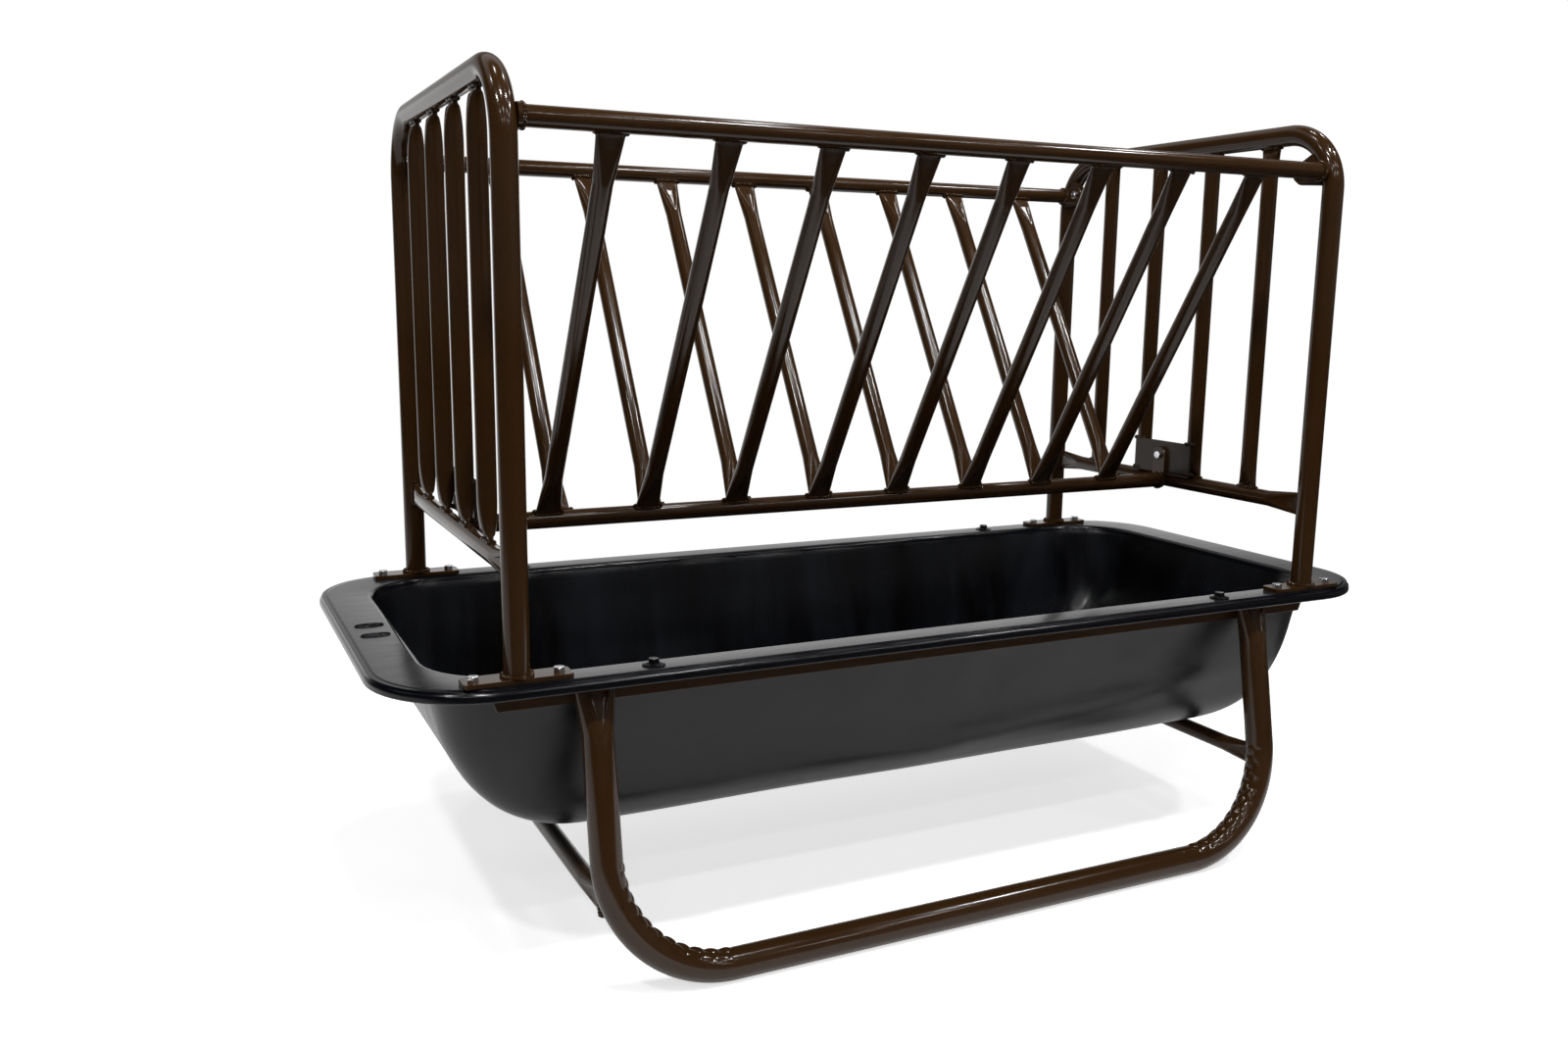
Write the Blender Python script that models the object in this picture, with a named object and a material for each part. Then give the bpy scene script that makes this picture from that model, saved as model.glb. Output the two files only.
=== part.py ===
"""Goat hay rack over a feed trough, as an assembly of separate pieces.

Metres, +Z up, X along the trough. The origin is on the ground under the middle.
Pieces that meet keep GAP between them. Everything at the front left has a twin,
turned half a turn about Z, at the back right.
"""
from math import acos, asin, atan2, cos, hypot, pi, radians, sin, sqrt, tan

import bmesh
import bpy
from mathutils import Matrix, Vector

# Clearance left between two pieces that touch
GAP = 0.0003

# Length at the very end of a crimped tube that the press closes fully
PRESSED_END = 0.006

# Moulded poly trough
RIM_HEIGHT = 0.412
RIM_LENGTH = 1.604
RIM_WIDTH = 0.708
RIM_CORNER = 0.140
END_LEDGE = 0.067
SIDE_LEDGE = 0.051
BASIN_CORNER = 0.115
TROUGH_DEPTH = 0.2415
POLY_WALL = 0.005
LIP_HEIGHT = 0.015
LIP_STEP = 0.0025
LIP_SHOULDER = 0.010
LIP_ROUND = 0.006
EDGE_ROLL = 0.008
END_DRAFT = radians(12.8)
END_CURVE = 0.198
SIDE_DRAFT = radians(12.1)
SIDE_CURVE = 0.068
FLOOR_CORNER = 0.036

# Angle irons under the long sides of the rim
ANGLE_LEG = 0.038
ANGLE_WALL = 0.0032
ANGLE_END_INSET = 0.128
ANGLE_CUT = 0.014
RIM_BOLT_INSET = 0.335

# Skid legs, one bent tube at the front and one at the back
LEG_TUBE = 0.0413
LEG_INSET = 0.260
LEG_BEND = 0.160
FOOT_SPLAY = 0.058
LEG_CRIMP = 0.0150
LEG_CRIMP_LENGTH = 0.066
WRINKLES = 11
WRINKLE_DEPTH = 0.0030

# Cross tubes between the legs
CROSS_TUBE = 0.0254
CROSS_DROP_LEFT = 0.0495
CROSS_DROP_RIGHT = 0.0225
CROSS_CRIMP = 0.008
CROSS_OFFSET = 0.012

# End frames
END_FRAME_INSET = 0.162
HOOP_TUBE = 0.0318
HOOP_HEIGHT = 1.141
HOOP_BEND = 0.090
FOOT_PLATE_LENGTH = 0.133
FOOT_PLATE_WIDTH = 0.036
FOOT_PLATE = 0.006
FOOT_PLATE_CORNER = 0.006
FOOT_BOLT_SPACING = 0.104
LOWER_RAIL_HEIGHT = 0.547
END_PICKETS = 4

# Hay rack
RAIL_TUBE = 0.0254
RACK_DROP = 0.0775
RACK_INSET = 0.008
RACK_PICKETS = 8
PICKET_STAGGER = 0.0045
OUTER_PICKET_SHIFT = 0.008
PICKET_TUBE = 0.0254
PICKET_CRIMP = 0.0064
PICKET_CRIMP_LENGTH = 0.065

# Plates and tabs that bolt the rack to the end frames
TAB = 0.006
TAB_WIDTH = 0.030
TAB_REACH = 0.038
FLOOR_TAB_RISE = 0.045
GUSSET = 0.005
GUSSET_NOSE = 0.018
GUSSET_SWEEP = radians(43)
GUSSET_LAP = 0.009
MIDDLE_PLATE = 0.005
MIDDLE_PLATE_HEIGHT = 0.0575
MIDDLE_PLATE_LAP = 0.006

# Hexagon bolts
BOLT_SHANK = 0.008
BOLT_HOLE = 0.0092
BOLT_FLATS = 0.013
BOLT_HEAD = 0.0053
BOLT_NUT = 0.0065
BOLT_TIP = 0.0035
WASHER = 0.030
WASHER_DISH = 0.0032
WASHER_WALL = 0.0015
WASHER_EDGE = 0.003
HEAD_CHAMFER = 0.0008
TIP_CHAMFER = 0.0008

# Faces round each tube and bend
TUBE_SIDES = 12
PICKET_SIDES = 8
BEND_STEPS = 8
CORNER_STEPS = 5
HOLE_SIDES = 8
WALL_STEPS = 6
WRINKLE_STEPS = 3

POWDER_COAT = ("brown_powder_coat", (0.030, 0.015, 0.007), 0.28, 0.0)
BLACK_POLY = ("black_polyethylene", (0.014, 0.015, 0.017), 0.45, 0.0)
ZINC = ("zinc_plated_steel", (0.60, 0.62, 0.63), 0.30, 1.0)
BLACK_STEEL = ("black_oxide_steel", (0.012, 0.012, 0.012), 0.45, 0.6)

HALF_TURN = Matrix.Rotation(pi, 4, "Z")

# Distance from a faceted tube's axis to its flats, as a share of its radius
TUBE_FLAT = cos(pi / TUBE_SIDES)
PICKET_FLAT = cos(pi / PICKET_SIDES)


# Scene helpers

def clear_scene():
    for obj in list(bpy.data.objects):
        bpy.data.objects.remove(obj, do_unlink=True)


def finish_for(finish):
    """The material of a finish, made on first use."""
    name, colour, roughness, metallic = finish
    material = bpy.data.materials.get(name)
    if material is None:
        material = bpy.data.materials.new(name)
        material.use_nodes = True
        shader = material.node_tree.nodes["Principled BSDF"]
        shader.inputs["Base Color"].default_value = (*colour, 1.0)
        shader.inputs["Roughness"].default_value = roughness
        shader.inputs["Metallic"].default_value = metallic
    return material


def place(name, mesh, finish, location=(0.0, 0.0, 0.0), turned=False):
    """Put a mesh in the scene, moved or turned half a turn about the middle."""
    obj = bpy.data.objects.new(name, mesh)
    bpy.context.scene.collection.objects.link(obj)
    if not mesh.materials:
        mesh.materials.append(finish_for(finish))
    move = Matrix.Translation(location)
    obj.matrix_world = HALF_TURN @ move if turned else move
    return obj


def mesh_from(bm, name):
    """Close off a bmesh as a mesh with outward faces and smooth round sides."""
    bmesh.ops.recalc_face_normals(bm, faces=bm.faces)
    mesh = bpy.data.meshes.new(name)
    bm.to_mesh(mesh)
    bm.free()
    mesh.shade_smooth()
    mesh.set_sharp_from_angle(angle=radians(40))
    return mesh


def combined(mesh, others, operation):
    """The mesh with each of the others joined to it or cut from it."""
    target = bpy.data.objects.new("work", mesh)
    bpy.context.scene.collection.objects.link(target)
    tools = []
    for other in others:
        tool = bpy.data.objects.new("tool", other)
        tool.hide_render = True
        tool.display_type = "WIRE"
        bpy.context.scene.collection.objects.link(tool)
        step = target.modifiers.new("step", "BOOLEAN")
        step.operation = operation
        step.solver = "EXACT"
        step.object = tool
        tools.append(tool)
    graph = bpy.context.evaluated_depsgraph_get()
    result = bpy.data.meshes.new_from_object(target.evaluated_get(graph))
    for obj in (target, *tools):
        bpy.data.objects.remove(obj, do_unlink=True)
    result.shade_smooth()
    result.set_sharp_from_angle(angle=radians(40))
    return result


# Shapes

def loft(rings):
    """One closed body through rings of points, capped at both ends."""
    bm = bmesh.new()
    loop = [bm.verts.new(point) for point in rings[0]]
    bm.faces.new(loop)
    for ring in rings[1:]:
        onward = [bm.verts.new(point) for point in ring]
        for near, far in zip(range(-1, len(loop) - 1), range(len(loop))):
            bm.faces.new((loop[near], loop[far], onward[far], onward[near]))
        loop = onward
    bm.faces.new(loop)
    return bm


def pressed_ring(centre, wide, thick, radius, half_thickness, sides, phase=0.0):
    """Section of a round tube pressed to a flat oval without changing its girth."""
    spread = 0.5 * pi * (radius - half_thickness)
    points = []
    for step in range(sides):
        angle = 2 * pi * (step + 0.5) / sides + phase
        side = spread if cos(angle) > 0 else -spread
        across = side + half_thickness * cos(angle)
        points.append(centre + wide * across + thick * half_thickness * sin(angle))
    return points


def roundness(along, length):
    """How far a crimped tube has opened at a distance from its end, 0 pressed to 1 round.

    It opens evenly, so that each pressed flat runs out in a V.
    """
    part = (along - PRESSED_END) / (length - PRESSED_END)
    return max(min(part, 1.0), 0.0)


def crimp_steps(length):
    """Distances from the end at which a crimped tube has a section, with its roundness there."""
    return [(along, roundness(along, length)) for along in (0.0, PRESSED_END, length)]


def crimped_tube(start, end, tube, crimp, crimp_length, wide, sides, cuts=(None, None)):
    """Straight tube with both ends pressed flat. A cut is the slant of an end face."""
    axis = (end - start).normalized()
    thick = axis.cross(wide).normalized()
    radius = 0.5 * tube
    pressed = 0.5 * crimp
    rings = []
    for along, opened in crimp_steps(crimp_length):
        half = pressed + (radius - pressed) * opened
        rings.append(pressed_ring(start + axis * along, wide, thick, radius, half, sides))
    for along, opened in reversed(crimp_steps(crimp_length)):
        half = pressed + (radius - pressed) * opened
        rings.append(pressed_ring(end - axis * along, wide, thick, radius, half, sides))
    for ring, normal, origin in ((rings[0], cuts[0], start), (rings[-1], cuts[1], end)):
        if normal is not None:
            for point in ring:
                point -= axis * ((point - origin).dot(normal) / axis.dot(normal))
    return loft(rings)


def rounded_loop(half_length, half_width, corner, height):
    """Rounded rectangle at one height, the same number of points for any size."""
    points = []
    for quarter in range(4):
        for step in range(CORNER_STEPS + 1):
            angle = 0.5 * pi * (quarter + step / CORNER_STEPS)
            middle_x = (half_length - corner) * (1 if quarter in (0, 3) else -1)
            middle_y = (half_width - corner) * (1 if quarter in (0, 1) else -1)
            points.append(Vector((middle_x + corner * cos(angle), middle_y + corner * sin(angle), height)))
    return points


def block(size, centre, corner=0.0):
    """Rectangular block whose upright edges may be rounded."""
    bm = bmesh.new()
    bmesh.ops.create_cube(bm, size=1.0)
    bmesh.ops.scale(bm, vec=size, verts=bm.verts)
    if corner:
        upright = [edge for edge in bm.edges if abs(edge.verts[0].co.z - edge.verts[1].co.z) > 0.5 * size[2]]
        bmesh.ops.bevel(bm, geom=upright, offset=corner, segments=3, profile=0.5, affect="EDGES", material=-1)
    bmesh.ops.translate(bm, vec=centre, verts=bm.verts)
    return mesh_from(bm, "block")


def slab(outline, depth):
    """Flat plate from an outline, thickened along one direction."""
    return mesh_from(loft([outline, [point + depth for point in outline]]), "slab")


def rod(start, end, diameter, sides, wide):
    """Plain round bar with a flat towards one direction, for rails and for cutting holes."""
    thick = (end - start).normalized().cross(wide)
    radius = 0.5 * diameter
    return loft([pressed_ring(point, wide, thick, radius, radius, sides) for point in (start, end)])


def holes_along(axis, centres, diameter, reach):
    """Cutters for round holes through the given centres."""
    half = Vector(axis) * reach
    wide = Vector(axis).orthogonal().normalized()
    return [mesh_from(rod(centre - half, centre + half, diameter, HOLE_SIDES, wide), "hole") for centre in centres]


# Trough

HALF_RIM = 0.5 * RIM_LENGTH
HALF_RIM_WIDTH = 0.5 * RIM_WIDTH
HALF_BASIN = HALF_RIM - END_LEDGE
HALF_BASIN_WIDTH = HALF_RIM_WIDTH - SIDE_LEDGE
RIM_UNDERSIDE = RIM_HEIGHT - POLY_WALL
TROUGH_BOTTOM = RIM_HEIGHT - TROUGH_DEPTH


def wall_half_size(top, draft, curve, bottom, height):
    """Half size of a drafted wall with a curved foot at a given height above ground."""
    bend_top = bottom + curve * (1 - sin(draft))
    at_bend_top = top - (RIM_UNDERSIDE - bend_top) * tan(draft)
    if height >= bend_top:
        return top - (RIM_UNDERSIDE - height) * tan(draft)
    centre = at_bend_top - curve * cos(draft)
    rise = bottom + curve - height
    return centre + sqrt(max(curve * curve - rise * rise, 0.0))


def wall_loops(inward):
    """Loops of the basin wall from its floor up to the rim, set in by a wall thickness."""
    bottom = TROUGH_BOTTOM + inward
    end_curve = END_CURVE - inward
    side_curve = SIDE_CURVE - inward
    end_top = HALF_BASIN - EDGE_ROLL + POLY_WALL / cos(END_DRAFT) - inward / cos(END_DRAFT)
    side_top = HALF_BASIN_WIDTH - EDGE_ROLL + POLY_WALL / cos(SIDE_DRAFT) - inward / cos(SIDE_DRAFT)
    loops = []
    for step in range(WALL_STEPS + 1):
        turn = 0.5 * pi - (0.5 * pi - END_DRAFT) * step / WALL_STEPS
        height = bottom + end_curve * (1 - sin(turn))
        share = (height - bottom) / (RIM_UNDERSIDE - bottom)
        corner = FLOOR_CORNER + (BASIN_CORNER - EDGE_ROLL - FLOOR_CORNER) * share
        half_length = wall_half_size(end_top, END_DRAFT, end_curve, bottom, height)
        half_width = wall_half_size(side_top, SIDE_DRAFT, side_curve, bottom, height)
        loops.append(rounded_loop(half_length, half_width, corner, height))
    return loops, end_top, side_top


def rim_loop(setback, height):
    """Loop that follows the outer edge of the rim, set back from it."""
    return rounded_loop(HALF_RIM - setback, HALF_RIM_WIDTH - setback, RIM_CORNER - setback, height)


def build_trough():
    outer, end_top, side_top = wall_loops(0.0)
    inner, _, _ = wall_loops(POLY_WALL)
    wall_corner = BASIN_CORNER - EDGE_ROLL
    shoulder = RIM_HEIGHT - LIP_STEP
    rings = list(outer)
    rings.append(rounded_loop(end_top, side_top, wall_corner, RIM_UNDERSIDE))
    rings.append(rim_loop(LIP_SHOULDER + LIP_STEP, RIM_UNDERSIDE))
    rings.append(rim_loop(POLY_WALL, RIM_UNDERSIDE - LIP_STEP))
    rings.append(rim_loop(POLY_WALL, RIM_HEIGHT - LIP_HEIGHT))
    rings.append(rim_loop(0.0, RIM_HEIGHT - LIP_HEIGHT))
    quarter_turns = (0.0, 0.25 * pi, 0.5 * pi)
    for turn in quarter_turns:
        rings.append(rim_loop(LIP_ROUND * (1 - cos(turn)), shoulder - LIP_ROUND * (1 - sin(turn))))
    rings.append(rim_loop(LIP_SHOULDER, shoulder))
    rings.append(rim_loop(LIP_SHOULDER + LIP_STEP, RIM_HEIGHT))
    for turn in quarter_turns:
        inset = EDGE_ROLL * sin(turn)
        drop = EDGE_ROLL * (1 - cos(turn))
        rings.append(rounded_loop(HALF_BASIN - inset, HALF_BASIN_WIDTH - inset,
                                  BASIN_CORNER - inset, RIM_HEIGHT - drop))
    rings.extend(reversed(inner))
    mesh = mesh_from(loft(rings), "trough")
    centres = [Vector((x, side * POST_Y, RIM_UNDERSIDE)) for side in (-1, 1)
               for x in (*FOOT_BOLT_X, *RIM_BOLT_X)]
    return combined(mesh, holes_along((0, 0, 1), centres, BOLT_HOLE, 2 * POLY_WALL), "DIFFERENCE")


# Where the posts and bolts stand on the rim

FRAME_X = HALF_RIM - END_FRAME_INSET
POST_Y = 0.5 * (HALF_BASIN_WIDTH + HALF_RIM_WIDTH - LIP_SHOULDER - LIP_STEP)
FOOT_BOLT_X = [side * FRAME_X + end * 0.5 * FOOT_BOLT_SPACING for side in (-1, 1) for end in (-1, 1)]
RIM_BOLT_X = [-(HALF_RIM - RIM_BOLT_INSET), HALF_RIM - RIM_BOLT_INSET]

# Angle irons

ANGLE_TOP = RIM_UNDERSIDE - GAP
ANGLE_INNER_Y = HALF_BASIN_WIDTH - EDGE_ROLL + POLY_WALL / cos(SIDE_DRAFT) + GAP
ANGLE_OUTER_Y = ANGLE_INNER_Y + ANGLE_WALL
HALF_ANGLE = HALF_RIM - ANGLE_END_INSET


def build_angle():
    """Front angle iron: one flange under the rim, one down beside the basin wall."""
    section = [(ANGLE_INNER_Y, 0.0), (ANGLE_INNER_Y + ANGLE_LEG, 0.0), (ANGLE_INNER_Y + ANGLE_LEG, ANGLE_WALL),
               (ANGLE_OUTER_Y, ANGLE_WALL), (ANGLE_OUTER_Y, ANGLE_LEG), (ANGLE_INNER_Y, ANGLE_LEG)]
    rings = []
    for side in (-1, 1):
        ring = []
        for y, drop in section:
            cut = ANGLE_CUT * max(drop - ANGLE_WALL, 0.0) / (ANGLE_LEG - ANGLE_WALL)
            ring.append(Vector((side * (HALF_ANGLE - cut), -y, ANGLE_TOP - drop)))
        rings.append(ring)
    mesh = mesh_from(loft(rings), "rim_angle")
    reachable = [x for x in (*FOOT_BOLT_X, *RIM_BOLT_X) if abs(x) < HALF_ANGLE - BOLT_HOLE]
    centres = [Vector((x, -POST_Y, ANGLE_TOP)) for x in reachable]
    return combined(mesh, holes_along((0, 0, 1), centres, BOLT_HOLE, 2 * ANGLE_WALL), "DIFFERENCE")


# Skid legs

LEG_RADIUS = 0.5 * LEG_TUBE
LEG_X = HALF_RIM - LEG_INSET
LEG_TOP = ANGLE_TOP - ANGLE_WALL - GAP
CRIMP_FOOT = LEG_TOP - LEG_CRIMP_LENGTH
LEG_BACK_Y = ANGLE_OUTER_Y + GAP
FOOT_HEIGHT = LEG_RADIUS * TUBE_FLAT
KNEE_Y = LEG_BACK_Y + LEG_RADIUS
FOOT_Y = KNEE_Y + FOOT_SPLAY
LEG_SPLAY = atan2(FOOT_SPLAY, CRIMP_FOOT - FOOT_HEIGHT)


def leg_y(height):
    """Distance of the leg's centre from the middle plane at one height."""
    return FOOT_Y - (height - FOOT_HEIGHT) * tan(LEG_SPLAY)


def leg_x(height):
    """Distance of the leg's centre from mid length, which falls off inside the bend."""
    along = (height - FOOT_HEIGHT) / cos(LEG_SPLAY)
    if along >= LEG_BEND:
        return LEG_X
    rise = LEG_BEND - along
    return LEG_X - LEG_BEND + sqrt(LEG_BEND ** 2 - rise ** 2)


def wrinkled_ring(centre, outward, normal, depth):
    """Tube section in the bend. Each crease presses in the wall on the inside of the bend."""
    points = []
    for step in range(TUBE_SIDES):
        angle = 2 * pi * (step + 0.5) / TUBE_SIDES
        inside = max(-cos(angle + LEG_SPLAY), 0.0)
        radius = LEG_RADIUS - depth * inside ** 2
        points.append(centre + outward * (radius * cos(angle + LEG_SPLAY)) + normal * (radius * sin(angle + LEG_SPLAY)))
    return points


def build_leg():
    """Front leg tube: flattened tops, splayed uprights, two wrinkle bends, floor bar."""
    wide = Vector((1, 0, 0))
    rings = []
    for along, opened in crimp_steps(LEG_CRIMP_LENGTH):
        half = 0.5 * LEG_CRIMP + (LEG_RADIUS - 0.5 * LEG_CRIMP) * opened
        centre = Vector((-LEG_X, -(LEG_BACK_Y + half), LEG_TOP - along))
        rings.append(pressed_ring(centre, -wide, Vector((0, 1, 0)), LEG_RADIUS, half, TUBE_SIDES))
    up_slope = Vector((0, sin(LEG_SPLAY), cos(LEG_SPLAY)))
    normal = Vector((0, cos(LEG_SPLAY), -sin(LEG_SPLAY)))
    bend_centre = Vector((-LEG_X + LEG_BEND, -FOOT_Y, FOOT_HEIGHT)) + up_slope * LEG_BEND
    stations = WRINKLE_STEPS * WRINKLES
    step_length = 0.5 * pi * LEG_BEND / stations
    bend_top = bend_centre - wide * LEG_BEND
    bend_foot = bend_centre - up_slope * LEG_BEND
    rings.append(wrinkled_ring(bend_top + up_slope * step_length, -wide, normal, 0.0))
    for station in range(stations + 1):
        turn = 0.5 * pi * station / stations
        outward = -wide * cos(turn) - up_slope * sin(turn)
        depth = 0.0 if station % WRINKLE_STEPS else WRINKLE_DEPTH
        rings.append(wrinkled_ring(bend_centre + outward * LEG_BEND, outward, normal, depth))
    rings.append(wrinkled_ring(bend_foot + wide * step_length, -up_slope, normal, 0.0))
    rings.extend([[Vector((-point.x, point.y, point.z)) for point in ring] for ring in reversed(rings)])
    return mesh_from(loft(rings), "leg_tube")


# Cross tubes

def build_cross_tube(side, drop):
    """Tube from leg to leg under the basin, its ends pressed tall and cut to the splay.

    It is welded behind the legs, a little outside their centres. The top corner of its
    pressed end lies nearest to the middle of the bent leg, and sets the length.
    """
    height = TROUGH_BOTTOM - drop
    across = leg_x(height) + CROSS_OFFSET
    pressed = 0.5 * CROSS_CRIMP
    end_top = height + pressed + 0.5 * pi * (0.5 * CROSS_TUBE - pressed)
    near_edge = max(across - pressed - leg_x(end_top), 0.0)
    leg_back = sqrt(LEG_RADIUS ** 2 - near_edge ** 2)
    reach = leg_y(height) - (leg_back + GAP) / cos(LEG_SPLAY)
    front = Vector((side * across, -reach, height))
    back = Vector((front.x, reach, height))
    cuts = (Vector((0, cos(LEG_SPLAY), -sin(LEG_SPLAY))), Vector((0, cos(LEG_SPLAY), sin(LEG_SPLAY))))
    tube = crimped_tube(front, back, CROSS_TUBE, CROSS_CRIMP, PICKET_CRIMP_LENGTH,
                        Vector((0, 0, 1)), TUBE_SIDES, cuts)
    return mesh_from(tube, "cross_tube")


# End frames

HOOP_RADIUS = 0.5 * HOOP_TUBE
HOOP_TOP = HOOP_HEIGHT - HOOP_RADIUS
POST_FOOT = RIM_HEIGHT + GAP
FRAME_INNER = FRAME_X - HOOP_RADIUS
RAIL_RADIUS = 0.5 * RAIL_TUBE
PICKET_RADIUS = 0.5 * PICKET_TUBE
RACK_Y = POST_Y - RACK_INSET
TAB_BOLT_Y = RACK_Y - TAB_REACH
RACK_TOP = HOOP_HEIGHT - RACK_DROP
RACK_FLOOR = LOWER_RAIL_HEIGHT
MIDDLE_BOLT = RACK_FLOOR + FLOOR_TAB_RISE
PICKET_FOOT = LOWER_RAIL_HEIGHT + RAIL_RADIUS * TUBE_FLAT + GAP


def hoop_tube():
    """Inverted U in the plane of the end, standing on two foot plates."""
    out = Vector((-1, 0, 0))
    path = [(Vector((-FRAME_X, -POST_Y, POST_FOOT + 0.5 * FOOT_PLATE)), Vector((0, -1, 0)))]
    for side in (-1, 1):
        centre = Vector((-FRAME_X, side * (POST_Y - HOOP_BEND), HOOP_TOP - HOOP_BEND))
        for step in range(BEND_STEPS + 1):
            turn = 0.5 * pi * step / BEND_STEPS
            turn = turn if side < 0 else 0.5 * pi - turn
            outward = Vector((0, side * cos(turn), sin(turn)))
            path.append((centre + outward * HOOP_BEND, outward))
    path.append((Vector((-FRAME_X, POST_Y, POST_FOOT + 0.5 * FOOT_PLATE)), Vector((0, 1, 0))))
    rings = [pressed_ring(point, out, outward, HOOP_RADIUS, HOOP_RADIUS, TUBE_SIDES) for point, outward in path]
    return mesh_from(loft(rings), "hoop_tube")


def gusset(side):
    """Corner plate inside a hoop bend, with a round nose for the rack bolt."""
    centre_y = POST_Y - HOOP_BEND
    centre_z = HOOP_TOP - HOOP_BEND
    lap = HOOP_BEND - GUSSET_LAP
    lower = RACK_TOP - GUSSET_NOSE
    steepest = 0.9
    start = asin(max(min((lower - centre_z) / lap, steepest), -steepest))
    outline = []
    arc_steps = 5
    for step in range(arc_steps + 1):
        turn = start + (GUSSET_SWEEP - start) * step / arc_steps
        outline.append((centre_y + lap * cos(turn), centre_z + lap * sin(turn)))
    corner_y, corner_z = outline[-1]
    away = hypot(corner_y - TAB_BOLT_Y, corner_z - RACK_TOP)
    tangent = atan2(corner_z - RACK_TOP, corner_y - TAB_BOLT_Y) + acos(min(GUSSET_NOSE / away, 1.0))
    for step in range(arc_steps + 1):
        turn = tangent + (1.5 * pi - tangent) * step / arc_steps
        outline.append((TAB_BOLT_Y + GUSSET_NOSE * cos(turn), RACK_TOP + GUSSET_NOSE * sin(turn)))
    points = [Vector((-FRAME_INNER, side * y, z)) for y, z in outline]
    return slab(points, Vector((-GUSSET, 0, 0)))


def build_hoop():
    """Left end frame: hoop, two foot plates and two corner gussets, welded into one."""
    plates = []
    bolt_holes = []
    for side in (-1, 1):
        foot = Vector((-FRAME_X, side * POST_Y, POST_FOOT + 0.5 * FOOT_PLATE))
        plates.append(block((FOOT_PLATE_LENGTH, FOOT_PLATE_WIDTH, FOOT_PLATE), foot, FOOT_PLATE_CORNER))
        plates.append(gusset(side))
        ends = [foot + Vector((end * 0.5 * FOOT_BOLT_SPACING, 0, 0)) for end in (-1, 1)]
        bolt_holes.extend(holes_along((0, 0, 1), ends, BOLT_HOLE, FOOT_PLATE))
        nose = Vector((-FRAME_INNER, side * TAB_BOLT_Y, RACK_TOP))
        bolt_holes.extend(holes_along((1, 0, 0), [nose], BOLT_HOLE, 2 * GUSSET))
    welded = combined(hoop_tube(), plates, "UNION")
    return combined(welded, bolt_holes, "DIFFERENCE")


def build_lower_rail():
    """Rail across the end frame at the foot of its pickets, pressed tall at the posts."""
    reach = POST_Y - HOOP_RADIUS * TUBE_FLAT - GAP
    front = Vector((-FRAME_X, -reach, LOWER_RAIL_HEIGHT))
    back = Vector((-FRAME_X, reach, LOWER_RAIL_HEIGHT))
    tube = crimped_tube(front, back, RAIL_TUBE, PICKET_CRIMP, PICKET_CRIMP_LENGTH,
                        Vector((0, 0, 1)), TUBE_SIDES)
    return mesh_from(tube, "lower_rail")


def build_end_picket():
    """Upright picket of an end frame, its ends pressed wide along the rail."""
    foot = Vector((-FRAME_X, 0, PICKET_FOOT))
    head = Vector((-FRAME_X, 0, HOOP_TOP - HOOP_RADIUS * TUBE_FLAT - GAP))
    tube = crimped_tube(foot, head, PICKET_TUBE, PICKET_CRIMP, PICKET_CRIMP_LENGTH,
                        Vector((0, 1, 0)), PICKET_SIDES)
    return mesh_from(tube, "end_picket")


END_PICKET_PITCH = 2 * POST_Y / (END_PICKETS + 1)
PICKET_HALF_AT_PLATE = 0.5 * PICKET_CRIMP + (PICKET_RADIUS - 0.5 * PICKET_CRIMP) * roundness(
    MIDDLE_PLATE_HEIGHT, PICKET_CRIMP_LENGTH)
PICKET_FACE = FRAME_X - PICKET_HALF_AT_PLATE * PICKET_FLAT - GAP
MIDDLE_PLATE_FACE = PICKET_FACE - MIDDLE_PLATE


def build_middle_plate():
    """Plate across the two middle pickets that takes the bolt of the rack floor rail."""
    width = END_PICKET_PITCH + 2 * MIDDLE_PLATE_LAP
    centre = Vector((-PICKET_FACE + 0.5 * MIDDLE_PLATE, 0, PICKET_FOOT + 0.5 * MIDDLE_PLATE_HEIGHT))
    plate = block((MIDDLE_PLATE, width, MIDDLE_PLATE_HEIGHT), centre)
    hole = holes_along((1, 0, 0), [Vector((-PICKET_FACE, 0, MIDDLE_BOLT))], BOLT_HOLE, 2 * MIDDLE_PLATE)
    return combined(plate, hole, "DIFFERENCE")


# Hay rack

TOP_TAB_FACE = FRAME_INNER - GAP
FLOOR_TAB_FACE = MIDDLE_PLATE_FACE - GAP
RACK_PITCH = 2 * FRAME_X / (RACK_PICKETS + 1)


def round_ended_tab(root, nose, half_width, outer_x, side):
    """Strap in an upright plane from a rail's end to a round nose at the bolt."""
    direction = (nose - root).normalized()
    across = Vector((1, 0, 0)).cross(direction)
    outline = [root - direction * half_width + across * half_width, root - direction * half_width - across * half_width]
    arc_steps = 8
    for step in range(arc_steps + 1):
        turn = pi * step / arc_steps - 0.5 * pi
        outline.append(nose + direction * (half_width * cos(turn)) + across * (half_width * sin(turn)))
    points = [Vector((side * outer_x, point.y, point.z)) for point in outline]
    return slab(points, Vector((-side * TAB, 0, 0)))


def rail_with_tabs(y, height, tab_face, nose):
    """Rail along X whose two ends carry welded bolt tabs."""
    half_length = tab_face - 0.5 * TAB
    root = Vector((0, y, height))
    bar = mesh_from(rod(Vector((-half_length, y, height)), Vector((half_length, y, height)),
                        RAIL_TUBE, TUBE_SIDES, Vector((0, 0, 1))), "rail")
    tabs = [round_ended_tab(root, nose, 0.5 * TAB_WIDTH, tab_face, side) for side in (-1, 1)]
    holes = holes_along((1, 0, 0), [Vector((side * tab_face, nose.y, nose.z)) for side in (-1, 1)],
                        BOLT_HOLE, 2 * TAB)
    return combined(combined(bar, tabs, "UNION"), holes, "DIFFERENCE")


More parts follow.
